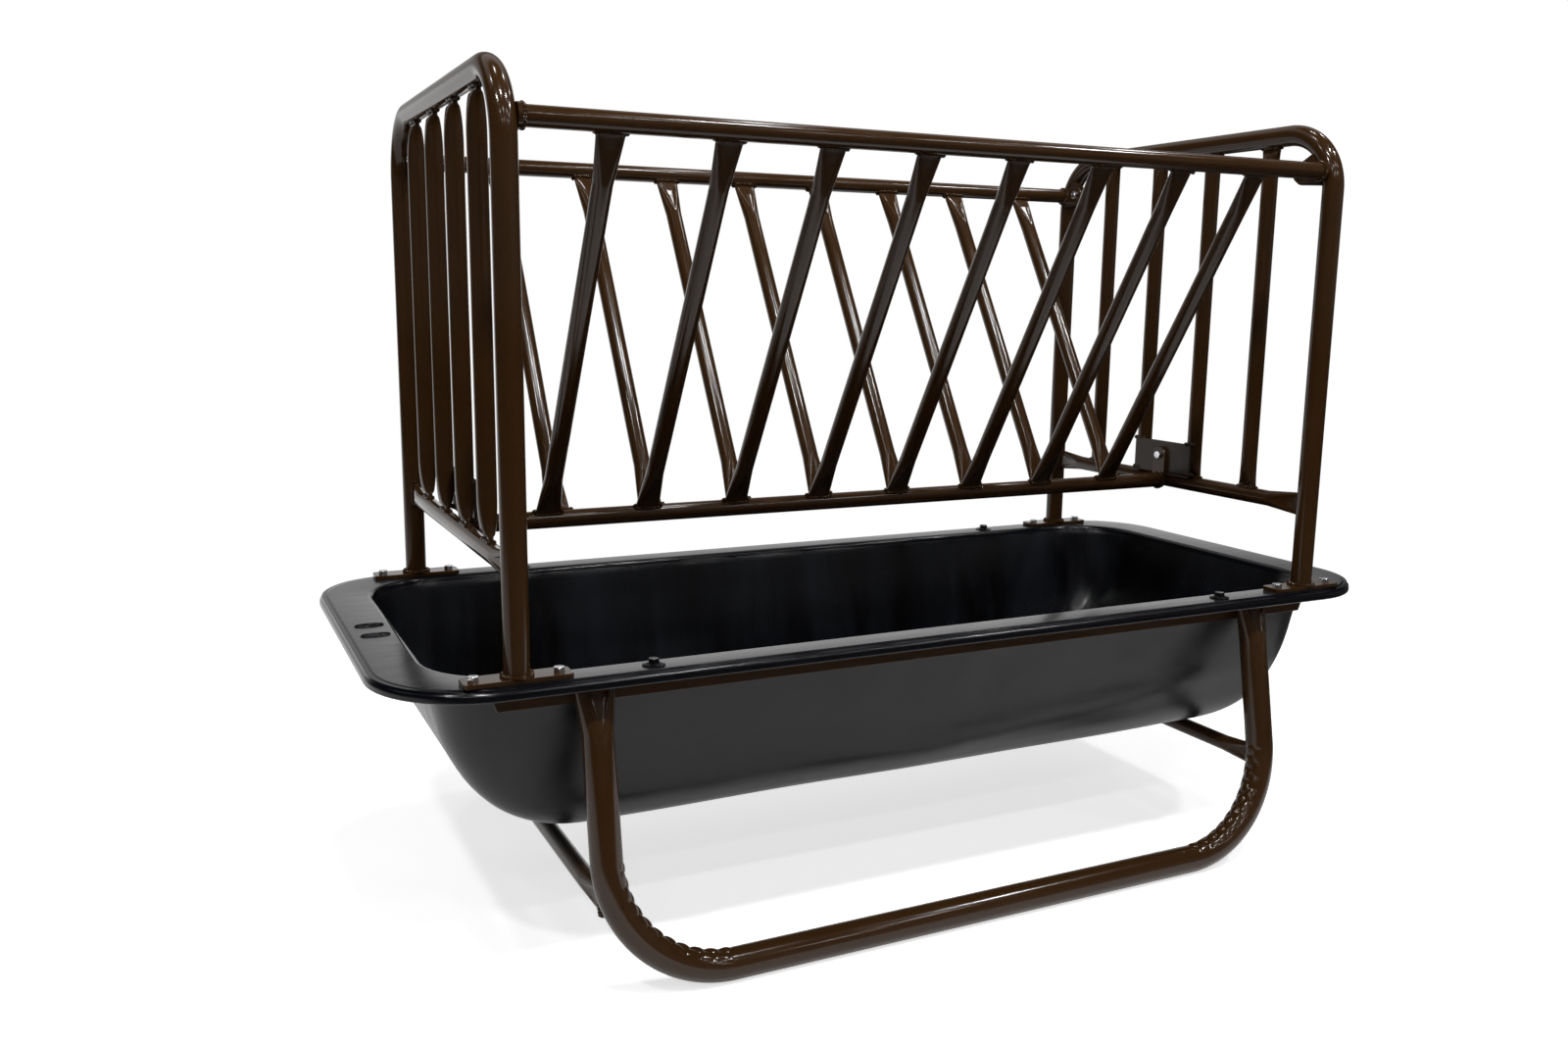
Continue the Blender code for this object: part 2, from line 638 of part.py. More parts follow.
def build_top_rail():
    """Front top rail, with tabs that reach in to the gussets."""
    return rail_with_tabs(-RACK_Y, RACK_TOP, TOP_TAB_FACE, Vector((0, -TAB_BOLT_Y, RACK_TOP)))


def build_floor_rail():
    """Rail along the bottom of the rack, with tabs that stand up to the middle plates."""
    return rail_with_tabs(0.0, RACK_FLOOR, FLOOR_TAB_FACE, Vector((0, 0, MIDDLE_BOLT)))


def build_rack_picket():
    """Sloping picket from the front top rail to the floor rail, pressed wide along X."""
    top = Vector((0, -RACK_Y, RACK_TOP))
    floor = Vector((0, 0, RACK_FLOOR))
    axis = (floor - top).normalized()
    clear = RAIL_RADIUS + GAP
    tube = crimped_tube(top + axis * clear, floor - axis * clear, PICKET_TUBE, PICKET_CRIMP,
                        PICKET_CRIMP_LENGTH, Vector((1, 0, 0)), PICKET_SIDES)
    return mesh_from(tube, "rack_picket")


# Fasteners

def bolt_rings(profile, axis, seat):
    """Rings of a hexagon bolt along an axis. A profile step is a distance and a radius."""
    wide = Vector(axis).orthogonal().normalized()
    thick = Vector(axis).cross(wide)
    rings = []
    for along, radius in profile:
        ring = []
        for step in range(6):
            angle = pi / 3 * (step + 0.5)
            ring.append(seat + Vector(axis) * along + (wide * cos(angle) + thick * sin(angle)) * radius)
        rings.append(ring)
    return rings


def build_bolt(seat, axis, grip):
    """Hexagon bolt and its nut round a grip. The axis runs from the head to the nut."""
    corner = BOLT_FLATS / sqrt(3)
    shank = 0.5 * BOLT_SHANK
    nut_seat = grip + GAP
    profile = [(-GAP - BOLT_HEAD, corner), (-GAP, corner), (-GAP, shank), (nut_seat, shank), (nut_seat, corner),
               (nut_seat + BOLT_NUT, corner), (nut_seat + BOLT_NUT, shank),
               (nut_seat + BOLT_NUT + BOLT_TIP, shank)]
    return mesh_from(loft(bolt_rings(profile, axis, seat)), "bolt")


def washer_ring(centre, radius, sides):
    """Ring of points about an upright axis."""
    points = []
    for step in range(sides):
        angle = 2 * pi * (step + 0.5) / sides
        points.append(centre + Vector((cos(angle), sin(angle), 0)) * radius)
    return points


def hexagon_ring(centre, corner, sides):
    """Hexagon with points added along its flats, so that it joins a round ring."""
    points = []
    for step in range(sides):
        angle = 2 * pi * (step + 0.5) / sides
        within = (angle + pi / 6) % (pi / 3) - pi / 6
        radius = corner * cos(pi / 6) / cos(within)
        points.append(centre + Vector((cos(angle), sin(angle), 0)) * radius)
    return points


def build_rim_bolt(x):
    """Black bolt of the rim: a hexagon head on a dished fender washer, and its nut."""
    sides = TUBE_SIDES
    seat = Vector((x, -POST_Y, RIM_HEIGHT + GAP))
    up = Vector((0, 0, 1))
    corner = BOLT_FLATS / sqrt(3)
    shank = 0.5 * BOLT_SHANK
    rim = 0.5 * WASHER
    nut_seat = ANGLE_TOP - ANGLE_WALL - GAP - seat.z
    head_top = WASHER_DISH + BOLT_HEAD
    rings = [
        hexagon_ring(seat + up * head_top, corner - HEAD_CHAMFER, sides),
        hexagon_ring(seat + up * (head_top - HEAD_CHAMFER), corner, sides),
        hexagon_ring(seat + up * WASHER_DISH, corner, sides),
        washer_ring(seat + up * WASHER_WALL, rim - WASHER_EDGE, sides),
        washer_ring(seat + up * WASHER_WALL, rim, sides),
        washer_ring(seat, rim, sides),
        washer_ring(seat, shank, sides),
        washer_ring(seat + up * nut_seat, shank, sides),
        hexagon_ring(seat + up * nut_seat, corner, sides),
        hexagon_ring(seat + up * (nut_seat - BOLT_NUT), corner, sides),
        washer_ring(seat + up * (nut_seat - BOLT_NUT), shank, sides),
        washer_ring(seat + up * (nut_seat - BOLT_NUT - BOLT_TIP), shank - TIP_CHAMFER, sides),
    ]
    return mesh_from(loft(rings), "rim_bolt")


# Assembly

def add_pair(names, mesh, finish, location=(0.0, 0.0, 0.0)):
    """The front or left piece and its twin at the back or right."""
    place(names[0], mesh, finish, location)
    place(names[1], mesh, finish, location, turned=True)


def add_trough_and_stand():
    place("trough", build_trough(), BLACK_POLY)
    add_pair(("rim_angle_front", "rim_angle_rear"), build_angle(), POWDER_COAT)
    add_pair(("leg_tube_front", "leg_tube_rear"), build_leg(), POWDER_COAT)
    place("cross_tube_left", build_cross_tube(-1, CROSS_DROP_LEFT), POWDER_COAT)
    place("cross_tube_right", build_cross_tube(1, CROSS_DROP_RIGHT), POWDER_COAT)
    for end, x in zip(("left", "right"), RIM_BOLT_X):
        other = "right" if end == "left" else "left"
        add_pair((f"rim_bolt_front_{end}", f"rim_bolt_rear_{other}"), build_rim_bolt(x), BLACK_STEEL)


def add_end_frames():
    add_pair(("end_hoop_left", "end_hoop_right"), build_hoop(), POWDER_COAT)
    add_pair(("end_rail_left", "end_rail_right"), build_lower_rail(), POWDER_COAT)
    add_pair(("rack_plate_left", "rack_plate_right"), build_middle_plate(), POWDER_COAT)
    picket = build_end_picket()
    for number in range(END_PICKETS):
        y = (number - 0.5 * (END_PICKETS - 1)) * END_PICKET_PITCH
        add_pair((f"end_picket_left_{number + 1}", f"end_picket_right_{END_PICKETS - number}"),
                 picket, POWDER_COAT, (0, y, 0))
    down = Vector((0, 0, -1))
    seat_z = POST_FOOT + FOOT_PLATE
    for name, x in zip(("outer", "inner"), FOOT_BOLT_X[:2]):
        under = ANGLE_TOP - ANGLE_WALL if abs(x) < HALF_ANGLE - BOLT_HOLE else RIM_UNDERSIDE
        bolt = build_bolt(Vector((x, -POST_Y, seat_z)), down, seat_z - under)
        add_pair((f"foot_bolt_front_left_{name}", f"foot_bolt_rear_right_{name}"), bolt, ZINC)
        bolt = build_bolt(Vector((x, POST_Y, seat_z)), down, seat_z - under)
        add_pair((f"foot_bolt_rear_left_{name}", f"foot_bolt_front_right_{name}"), bolt, ZINC)


def add_rack():
    add_pair(("rack_rail_front", "rack_rail_rear"), build_top_rail(), POWDER_COAT)
    place("rack_rail_floor", build_floor_rail(), POWDER_COAT)
    picket = build_rack_picket()
    for number in range(RACK_PICKETS):
        x = (number - 0.5 * (RACK_PICKETS - 1)) * RACK_PITCH - PICKET_STAGGER
        if number == 0:
            x -= OUTER_PICKET_SHIFT
        add_pair((f"rack_picket_front_{number + 1}", f"rack_picket_rear_{RACK_PICKETS - number}"),
                 picket, POWDER_COAT, (x, 0, 0))
    outward = Vector((-1, 0, 0))
    top_grip = TAB + GAP + GUSSET
    top_seat = -(TOP_TAB_FACE - TAB)
    front = build_bolt(Vector((top_seat, -TAB_BOLT_Y, RACK_TOP)), outward, top_grip)
    add_pair(("rack_bolt_front_left", "rack_bolt_rear_right"), front, ZINC)
    rear = build_bolt(Vector((top_seat, TAB_BOLT_Y, RACK_TOP)), outward, top_grip)
    add_pair(("rack_bolt_rear_left", "rack_bolt_front_right"), rear, ZINC)
    middle_seat = -(FLOOR_TAB_FACE - TAB)
    middle = build_bolt(Vector((middle_seat, 0, MIDDLE_BOLT)), outward, TAB + GAP + MIDDLE_PLATE)
    add_pair(("rack_bolt_floor_left", "rack_bolt_floor_right"), middle, ZINC)


clear_scene()
add_trough_and_stand()
add_end_frames()
add_rack()
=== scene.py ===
from math import atan2, cos, hypot, pi, radians, sin, sqrt, tan

import bmesh
import bpy
from mathutils import Matrix, Vector, noise


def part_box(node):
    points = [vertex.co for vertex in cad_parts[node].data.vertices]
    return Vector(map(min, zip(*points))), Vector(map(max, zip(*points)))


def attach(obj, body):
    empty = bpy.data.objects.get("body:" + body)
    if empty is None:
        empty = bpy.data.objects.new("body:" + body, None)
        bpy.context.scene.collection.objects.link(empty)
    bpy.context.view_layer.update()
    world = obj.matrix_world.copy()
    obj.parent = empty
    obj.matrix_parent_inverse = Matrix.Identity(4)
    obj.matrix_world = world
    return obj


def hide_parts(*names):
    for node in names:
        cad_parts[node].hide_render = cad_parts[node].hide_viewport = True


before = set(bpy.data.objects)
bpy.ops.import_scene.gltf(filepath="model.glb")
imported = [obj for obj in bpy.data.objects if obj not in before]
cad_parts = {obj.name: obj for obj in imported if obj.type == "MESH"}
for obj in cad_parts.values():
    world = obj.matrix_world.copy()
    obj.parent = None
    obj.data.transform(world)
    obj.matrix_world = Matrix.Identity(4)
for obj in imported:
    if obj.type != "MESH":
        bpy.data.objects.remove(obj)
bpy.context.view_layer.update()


# Feed trough
# A shallow tub of black polyethylene, drawn into a mould from one thick sheet. A flat ledge runs
# round its mouth and turns down at the edge as a lip, and the tub hangs by it on two angle irons.

RIM_TOP = 0.412
RIM_UNDERSIDE = 0.407
HALF_RIM = 0.802
HALF_RIM_WIDTH = 0.354
RIM_CORNER = 0.140
HALF_MOUTH = 0.735
HALF_MOUTH_WIDTH = 0.303
MOUTH_CORNER = 0.115
MOUTH_ROLL = 0.008
TUB_BOTTOM = 0.1705
TUB_WALL = 0.005
END_DRAFT = radians(12.8)
END_CURVE = 0.198
SIDE_DRAFT = radians(12.1)
SIDE_CURVE = 0.068
FLOOR_CORNER = 0.036
LIP_WALL = 0.005
LIP_ROUND = 0.006
LIP_STEP = 0.0025
LIP_STEP_INNER = 0.0125
LIP_BOTTOM = 0.397

# The lip's section, as distances in from the rim's edge and heights: the turn under the ledge, then
# above the lip's lowest point its rolled edge, and above its shoulder the step up to the ledge
LIP_TURN = ((LIP_STEP_INNER, RIM_UNDERSIDE), (0.008, 0.4068), (0.0055, 0.4052), (LIP_WALL, 0.402))
LIP_EDGE = ((LIP_WALL, 0.0015), (0.0042, 0.0003), (0.0028, 0.0), (0.0010, 0.0005), (0.0002, 0.0012),
            (0.0, 0.0020), (0.0, 0.0027))
LIP_RISE = ((0.0088, 0.0), (0.0098, 0.0004), (0.0108, 0.0019))

# Near the ends of the rim the step fades out
STEP_FADE = 0.8
STEP_FADE_START = 0.66
STEP_FADE_LENGTH = 0.09

WAVE_DEPTH = 0.0016
FOLD_DEPTH = 0.0042
FOLD_HEIGHT = 0.228
FOLD_RISE = 0.072
FOLD_WIDTH = 0.030
FOLD_START = -0.06
FOLD_START_FADE = 0.12
FOLD_END = 0.56
FOLD_END_FADE = 0.20

# Faces along half an end, round a corner and along half a side of the tub, and rings up its wall
END_FACES = 8
CORNER_FACES = 14
SIDE_FACES = 26
QUARTER_FACES = END_FACES + CORNER_FACES + SIDE_FACES
TUB_SIDES = 4 * QUARTER_FACES
FOOT_RINGS = 14
WALL_RINGS = 16

POLY_IOR = 1.36


def straight_tube(sides, rings, capped=True):
    """Unit tube that stands on its first ring, with one unit between rings."""
    bm = bmesh.new()
    bmesh.ops.create_cone(bm, cap_ends=capped, segments=sides, radius1=1.0, radius2=1.0, depth=rings - 1)
    bmesh.ops.translate(bm, vec=(0, 0, 0.5 * (rings - 1)), verts=bm.verts)
    upright = [edge for edge in bm.edges if abs(edge.verts[0].co.z - edge.verts[1].co.z) > 0.5]
    if rings > 2:
        bmesh.ops.subdivide_edges(bm, edges=upright, cuts=rings - 2, use_grid_fill=True)
    for face in bm.faces:
        face.smooth = len(face.verts) == 4
    return bm


def draw_tube(bm, section):
    """Move each point to the place that its ring number and its angle round the tube give it."""
    for vert in bm.verts:
        vert.co = section(round(vert.co.z), atan2(vert.co.y, vert.co.x))


def put(name, bm, materials, nodes, sharp=40):
    """Finish a mesh as a piece that stands for its CAD nodes."""
    bmesh.ops.recalc_face_normals(bm, faces=bm.faces)
    for edge in bm.edges:
        if len(edge.link_faces) == 2 and edge.calc_face_angle() > radians(sharp):
            edge.smooth = False
    mesh = bpy.data.meshes.new(name)
    bm.to_mesh(mesh)
    bm.free()
    for material in materials:
        mesh.materials.append(material)
    piece = bpy.data.objects.new(name, mesh)
    bpy.context.scene.collection.objects.link(piece)
    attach(piece, "root")
    if nodes:
        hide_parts(*nodes)


def feed(tree, node, inputs):
    """Give each named input its value, or the socket that feeds it."""
    for key, value in inputs.items():
        if isinstance(value, bpy.types.NodeSocket):
            tree.links.new(value, node.inputs[key])
        else:
            node.inputs[key].default_value = value


def add_node(tree, kind, inputs=None, **settings):
    """Add a shader node with its settings and inputs."""
    node = tree.nodes.new(kind)
    for key, value in settings.items():
        setattr(node, key, value)
    feed(tree, node, inputs or {})
    return node


def combine(tree, operation, first, second):
    """Result of one operation on two values."""
    return add_node(tree, "ShaderNodeMath", {0: first, 1: second}, operation=operation).outputs[0]


def times(tree, first, second):
    """Product of two values."""
    return combine(tree, "MULTIPLY", first, second)


def change(tree, value, start, end, low=0.0, high=1.0, curve="LINEAR"):
    """Change from low to high while the value goes from start to end."""
    ends = {"Value": value, "From Min": start, "From Max": end, "To Min": low, "To Max": high}
    return add_node(tree, "ShaderNodeMapRange", ends, interpolation_type=curve).outputs["Result"]


def cloud(tree, place, scale, detail, roughness=0.5):
    """Value of a noise texture."""
    texture = {"Vector": place, "Scale": scale, "Detail": detail, "Roughness": roughness}
    return add_node(tree, "ShaderNodeTexNoise", texture).outputs["Fac"]


def mix_colours(tree, factor, first, second):
    """Blend of two colours. Each is a colour or the socket that gives one."""
    blend = add_node(tree, "ShaderNodeMix", {"Factor": factor}, data_type="RGBA")
    tints = [socket for socket in blend.inputs if socket.type == "RGBA"]
    for socket, colour in zip(tints, (first, second)):
        if isinstance(colour, bpy.types.NodeSocket):
            tree.links.new(colour, socket)
        else:
            socket.default_value = (*colour, 1.0)
    return next(socket for socket in blend.outputs if socket.type == "RGBA")


def start_material(name):
    """New material, its node tree, its shader and the object coordinates."""
    material = bpy.data.materials.new(name)
    material.use_nodes = True
    tree = material.node_tree
    place = add_node(tree, "ShaderNodeTexCoord").outputs["Object"]
    return material, tree, tree.nodes["Principled BSDF"], place


def dress(tree, shader, colour, roughness, height, strength, distance):
    """Give a shader the colour, the roughness and the bump that change over its surface."""
    relief = {"Height": height, "Strength": strength, "Distance": distance}
    normal = add_node(tree, "ShaderNodeBump", relief).outputs["Normal"]
    feed(tree, shader, {"Base Color": colour, "Roughness": roughness, "Normal": normal})


def new_group(name, vectors, numbers, outputs):
    """Start a shader node group. Its inputs are vectors and numbers, and its outputs are numbers."""
    group = bpy.data.node_groups.new(name, "ShaderNodeTree")
    for label in vectors:
        group.interface.new_socket(label, in_out="INPUT", socket_type="NodeSocketVector")
    for label, value in numbers.items():
        socket = group.interface.new_socket(label, in_out="INPUT", socket_type="NodeSocketFloat")
        socket.default_value = value
    for label in outputs:
        group.interface.new_socket(label, in_out="OUTPUT", socket_type="NodeSocketFloat")
    return group, group.nodes.new("NodeGroupInput").outputs, group.nodes.new("NodeGroupOutput")


def moulded_skin():
    """Skin of moulded sheet: fine grain, soft waves, and streaks drawn out by the streak vector, which are
    rub marks and, in the blue-tinted plastic, painted sheen and painted reflection.
    """
    numbers = {"Streak Scale": 14.0, "Grain Scale": 900.0, "Swell": 1.0}
    group, given, result = new_group("moulded_skin", ["Vector", "Streak Vector"], numbers, ["Rub And Sheen", "Height"])
    rub_and_sheen = cloud(group, given["Streak Vector"], given["Streak Scale"], 4.0, 0.55)
    grain = cloud(group, given["Vector"], given["Grain Scale"], 2.0)
    swell = cloud(group, given["Vector"], 9.0, 1.0)
    height = combine(group, "ADD", times(group, swell, given["Swell"]), times(group, grain, 0.012))
    feed(group, result, {"Rub And Sheen": change(group, rub_and_sheen, 0.36, 0.70), "Height": height})
    return group


def polyethylene(name, dark, pale, smooth, rough, bump, streak, skin):
    """Black polyethylene. Its streaks are paler and rougher than the moulded skin: rub marks, and where the
    pale tone is blue, painted sheen and painted reflection.
    """
    material, tree, shader, place = start_material(name)
    drawn = add_node(tree, "ShaderNodeMapping", {"Vector": place, "Scale": streak}).outputs["Vector"]
    swell = min(bump / 0.002, 1.0)
    surface = add_node(tree, "ShaderNodeGroup", node_tree=skin,
                       inputs={"Vector": place, "Streak Vector": drawn, "Swell": swell}).outputs
    dress(tree, shader, mix_colours(tree, surface["Rub And Sheen"], dark, pale),
          change(tree, surface["Rub And Sheen"], 0.0, 1.0, smooth, rough), surface["Height"], 0.6, bump)
    shader.inputs["IOR"].default_value = POLY_IOR
    return material


def limit_share(share):
    """A share kept between 0 and 1."""
    return max(min(share, 1.0), 0.0)


def eased(share):
    """A share that starts and ends gently."""
    return share * share * (3 - 2 * share)


def fall_off(distance):
    """Smooth fall from 1 at no distance to 0 at one unit."""
    return (1 - min(distance * distance, 1.0)) ** 2


def ledge_point(step, length, width, corner):
    """Point on a rounded rectangle, counted from the middle of its right end."""
    quarter, part = divmod(step, QUARTER_FACES)
    if quarter % 2:
        part = QUARTER_FACES - part
    if part <= END_FACES:
        x, y = length, (width - corner) * part / END_FACES
    elif part <= END_FACES + CORNER_FACES:
        turn = 0.5 * pi * (part - END_FACES) / CORNER_FACES
        x, y = length - corner + corner * cos(turn), width - corner + corner * sin(turn)
    else:
        x, y = (length - corner) * (QUARTER_FACES - part) / SIDE_FACES, width
    return (x if quarter in (0, 3) else -x), (y if quarter in (0, 1) else -y)


def wall_reach(top, draft, curve, bottom, height):
    """Half size of a drafted wall with a curved foot, at one height."""
    bend_top = bottom + curve * (1 - sin(draft))
    at_bend_top = top - (RIM_UNDERSIDE - bend_top) * tan(draft)
    if height >= bend_top:
        return top - (RIM_UNDERSIDE - height) * tan(draft)
    rise = bottom + curve - height
    return at_bend_top - curve * cos(draft) + sqrt(max(curve * curve - rise * rise, 0.0))


def tub_wall(inward, top):
    """Rings of the tub's wall from its floor up, set in by a wall thickness."""
    bottom = TUB_BOTTOM + inward
    side_curve = SIDE_CURVE - inward
    turns = [0.5 * pi * step / FOOT_RINGS for step in range(FOOT_RINGS - 1)]
    heights = [bottom + side_curve * (1 - cos(turn)) for turn in turns]
    heights += [heights[-1] + (top - heights[-1]) * step / WALL_RINGS for step in range(1, WALL_RINGS + 1)]
    rings = []
    for height in heights:
        length = wall_reach(HALF_MOUTH - MOUTH_ROLL + (TUB_WALL - inward) / cos(END_DRAFT),
                            END_DRAFT, END_CURVE - inward, bottom, height)
        width = wall_reach(HALF_MOUTH_WIDTH - MOUTH_ROLL + (TUB_WALL - inward) / cos(SIDE_DRAFT),
                           SIDE_DRAFT, side_curve, bottom, height)
        share = (height - bottom) / (RIM_UNDERSIDE - bottom)
        corner = FLOOR_CORNER + (MOUTH_CORNER - MOUTH_ROLL - FLOOR_CORNER) * min(share, 1.0)
        rings.append((length, width, corner, height))
    return rings


def rim_ring(setback, height):
    """Ring that follows the outer edge of the ledge."""
    return HALF_RIM - setback, HALF_RIM_WIDTH - setback, RIM_CORNER - setback, height


def tub_rings():
    """Rings of the tub in five groups: outside, lip, ledge, rolled mouth and inside."""
    shoulder = RIM_TOP - LIP_STEP
    lip = [rim_ring(setback, height) for setback, height in LIP_TURN]
    lip += [rim_ring(setback, LIP_BOTTOM + rise) for setback, rise in LIP_EDGE]
    for step in range(9):
        turn = 0.5 * pi * step / 8
        lip.append(rim_ring(LIP_ROUND * (1 - cos(turn)), shoulder - LIP_ROUND * (1 - sin(turn))))
    lip += [rim_ring(setback, shoulder + rise) for setback, rise in LIP_RISE]
    ledge = [rim_ring(LIP_STEP_INNER, RIM_TOP), rim_ring(LIP_STEP_INNER + 0.001, RIM_TOP)]
    mouth = []
    for step in range(7):
        turn = 0.5 * pi * step / 6
        inset = MOUTH_ROLL * (sin(turn) - 0.12 * (1 - sin(turn)))
        mouth.append((HALF_MOUTH - inset, HALF_MOUTH_WIDTH - inset, MOUTH_CORNER - inset,
                      RIM_TOP - MOUTH_ROLL * (1 - cos(turn))))
    inner = tub_wall(TUB_WALL, RIM_TOP - MOUTH_ROLL - 0.001)
    return tub_wall(0.0, RIM_UNDERSIDE), lip, ledge, mouth, inner[::-1]


def tub_point(rings, ring, angle):
    """Point of the tub, with the slow waves and the fold that the sheet takes as it cools."""
    step = round(angle / (2 * pi) * TUB_SIDES) % TUB_SIDES
    length, width, corner, height = rings[ring]
    x, y = ledge_point(step, length, width, corner)
    if height > RIM_TOP - LIP_STEP - 0.001 and length > HALF_MOUTH:
        share = limit_share((abs(x) - STEP_FADE_START) / STEP_FADE_LENGTH)
        height += (RIM_TOP - height) * STEP_FADE * share
    below = limit_share((RIM_UNDERSIDE - 0.02 - height) / 0.05)
    low = limit_share((0.27 - height) / 0.06)
    wave = (sin(7.3 * x + 0.6) + 0.7 * sin(17.0 * x + 2.1)) * low
    wave += 0.5 * noise.noise(Vector((3 * x, 3 * y, height * 6)))
    push = WAVE_DEPTH * wave * below
    if y < 0:
        across = (height - FOLD_HEIGHT - FOLD_RISE * x) / FOLD_WIDTH
        fade = limit_share(min((x - FOLD_START) / FOLD_START_FADE, (FOLD_END - x) / FOLD_END_FADE))
        push += FOLD_DEPTH * fall_off(across) * eased(fade)
    reach = hypot(x / length, y / width)
    return Vector((x * (1 + push / length * reach), y * (1 + push / width * reach), height))


ring_groups = tub_rings()
all_rings = sum(ring_groups, [])
group_starts = [sum(len(group) for group in ring_groups[:number]) for number in range(1, 5)]
tub = straight_tube(TUB_SIDES, len(all_rings))
for face in tub.faces:
    middle = face.calc_center_median().z
    face.material_index = sum(middle > start for start in group_starts)
draw_tube(tub, lambda ring, angle: tub_point(all_rings, ring, angle))

skin_group = moulded_skin()
# These are four copies of one black polyethylene in different tones. The outside keeps the plastic's own
# tone. The ledge is painted paler, as painted light where the lamps fall on its top. The lip is painted
# darker with a blue tint, as painted shade and painted sheen. The inside is painted darker still, as painted
# shade, and its pale blue streaks are painted sheen and painted reflection of the pickets.
outside_poly = polyethylene("trough_outside", (0.0022, 0.0022, 0.0024), (0.0085, 0.0085, 0.0088),
                            0.28, 0.40, 0.005, (0.6, 2.0, 1.0), skin_group)
lip_poly = polyethylene("trough_lip", (0.0012, 0.0014, 0.0026), (0.0022, 0.0025, 0.0042),
                        0.17, 0.20, 0.00003, (1.0, 14.0, 3.0), skin_group)
rim_poly = polyethylene("trough_rim", (0.0100, 0.0100, 0.0108), (0.022, 0.022, 0.023),
                        0.18, 0.26, 0.0001, (1.0, 14.0, 3.0), skin_group)
inside_poly = polyethylene("trough_inside", (0.0008, 0.0009, 0.0013), (0.0075, 0.0085, 0.0120),
                           0.22, 0.32, 0.0014, (0.8, 0.5, 0.12), skin_group)
put("feed_trough", tub, [outside_poly, lip_poly, rim_poly, lip_poly, inside_poly],
    ["trough"])


# Mould marks
# Two plain ovals, each a raised outline with a smaller one inside it, that the mould leaves on the
# left end of the ledge.

MARK_X = -0.760
MARK_Y = (0.015, -0.041)
MARK_LENGTH = 0.019
MARK_WIDTH = 0.0085
MARK_HEIGHT = 0.0016
MARK_LINE = 0.0009
MARK_STEPS = 48


def join(bm, part):
    """Add the faces of one mesh under construction to another."""
    mesh = bpy.data.meshes.new("part")
    part.to_mesh(mesh)
    part.free()
    bm.from_mesh(mesh)
    bpy.data.meshes.remove(mesh)


def add_ring(bm, sides, steps, section):
    """Add a tube whose last ring meets its first."""
    ring = straight_tube(sides, steps + 1, capped=False)
    draw_tube(ring, section)
    bmesh.ops.remove_doubles(ring, verts=ring.verts, dist=0.00001)
    join(bm, ring)


def mark_point(centre, scale, ring, angle):
    """Point of the raised line round an oval."""
    turn = 2 * pi * ring / MARK_STEPS
    across = Vector((MARK_LENGTH * scale * cos(turn), MARK_WIDTH * scale * sin(turn), 0))
    line = across.normalized() * (MARK_LINE * cos(angle))
    return centre + across + line + Vector((0, 0, MARK_HEIGHT * sin(angle)))


marks = bmesh.new()
for mark_y in MARK_Y:
    centre = Vector((MARK_X, mark_y, RIM_TOP))
    for scale in (1.0, 0.5):
        add_ring(marks, 8, MARK_STEPS, lambda ring, angle: mark_point(centre, scale, ring, angle))
# The marks are drawn in the basin's darker plastic, so they show darker than the ledge round them.
put("mould_marks", marks, [inside_poly], [])


# Angle irons
# Two lengths of rolled steel angle under the long sides of the ledge, with the lower corners of the
# upright flange cut off. They are powder coated, and the trough, legs and end frames bolt to them.

ANGLE_TOP = 0.4067
ANGLE_BACK = 0.3004
ANGLE_LEG = 0.038
ANGLE_WALL = 0.0032
HALF_ANGLE = 0.674
ANGLE_CUT = 0.014
ANGLE_EASE = 0.0007
COAT_IOR = 1.36


def paint_skin():
    """Powder coat: orange peel, slow unevenness of the film, and flecks in the coat whose sparkle is painted
    as a paler colour, a painted glint.
    """
    numbers = {"Peel Scale": 330.0, "Fleck Scale": 1500.0}
    group, given, result = new_group("paint_skin", ["Vector"], numbers, ["Fleck And Glint", "Film", "Height"])
    peel = cloud(group, given["Vector"], given["Peel Scale"], 1.5)
    broad = cloud(group, given["Vector"], 70.0, 1.0)
    film = cloud(group, given["Vector"], 11.0, 3.0)
    cells = {"Vector": given["Vector"], "Scale": given["Fleck Scale"]}
    fleck_and_glint = add_node(group, "ShaderNodeTexVoronoi", cells).outputs
    chance = add_node(group, "ShaderNodeSeparateColor", {"Color": fleck_and_glint["Color"]}).outputs[0]
    spot = change(group, fleck_and_glint["Distance"], 0.28, 0.12)
    mask = times(group, spot, combine(group, "GREATER_THAN", chance, 0.72))
    height = combine(group, "ADD", peel, times(group, broad, 0.5))
    feed(group, result, {"Fleck And Glint": mask, "Film": film, "Height": height})
    return group


def powder_coat(name, deep, warm, fleck_and_glint, smooth, rough, skin):
    """Glossy brown powder coat over steel."""
    material, tree, shader, place = start_material(name)
    surface = add_node(tree, "ShaderNodeGroup", node_tree=skin, inputs={"Vector": place}).outputs
    brown = mix_colours(tree, surface["Film"], deep, warm)
    dress(tree, shader, mix_colours(tree, surface["Fleck And Glint"], brown, fleck_and_glint),
          change(tree, surface["Film"], 0.3, 0.7, smooth, rough), surface["Height"], 0.3, 0.000008)
    shader.inputs["IOR"].default_value = COAT_IOR
    return material


def round_edges(bm, edges, size, steps=2):
    """Round some edges of a solid."""
    bmesh.ops.bevel(bm, geom=edges, offset=size, segments=steps, profile=0.5, affect="EDGES", material=-1)


def pair(names, bm, material, nodes, sharp=40):
    """Put a piece and its twin, half a turn round the middle. Each stands for one node."""
    twin = bm.copy()
    bmesh.ops.rotate(twin, cent=(0, 0, 0), matrix=Matrix.Rotation(pi, 3, "Z"), verts=twin.verts)
    for name, mesh, node in zip(names, (bm, twin), nodes):
        put(name, mesh, [material], [node], sharp)


coat_group = paint_skin()
# The third colour is the flecks' paler tone, a painted glint.
coat = powder_coat("brown_coat", (0.028, 0.0118, 0.0034), (0.040, 0.0175, 0.0052), (0.11, 0.06, 0.03),
                   0.11, 0.17, coat_group)

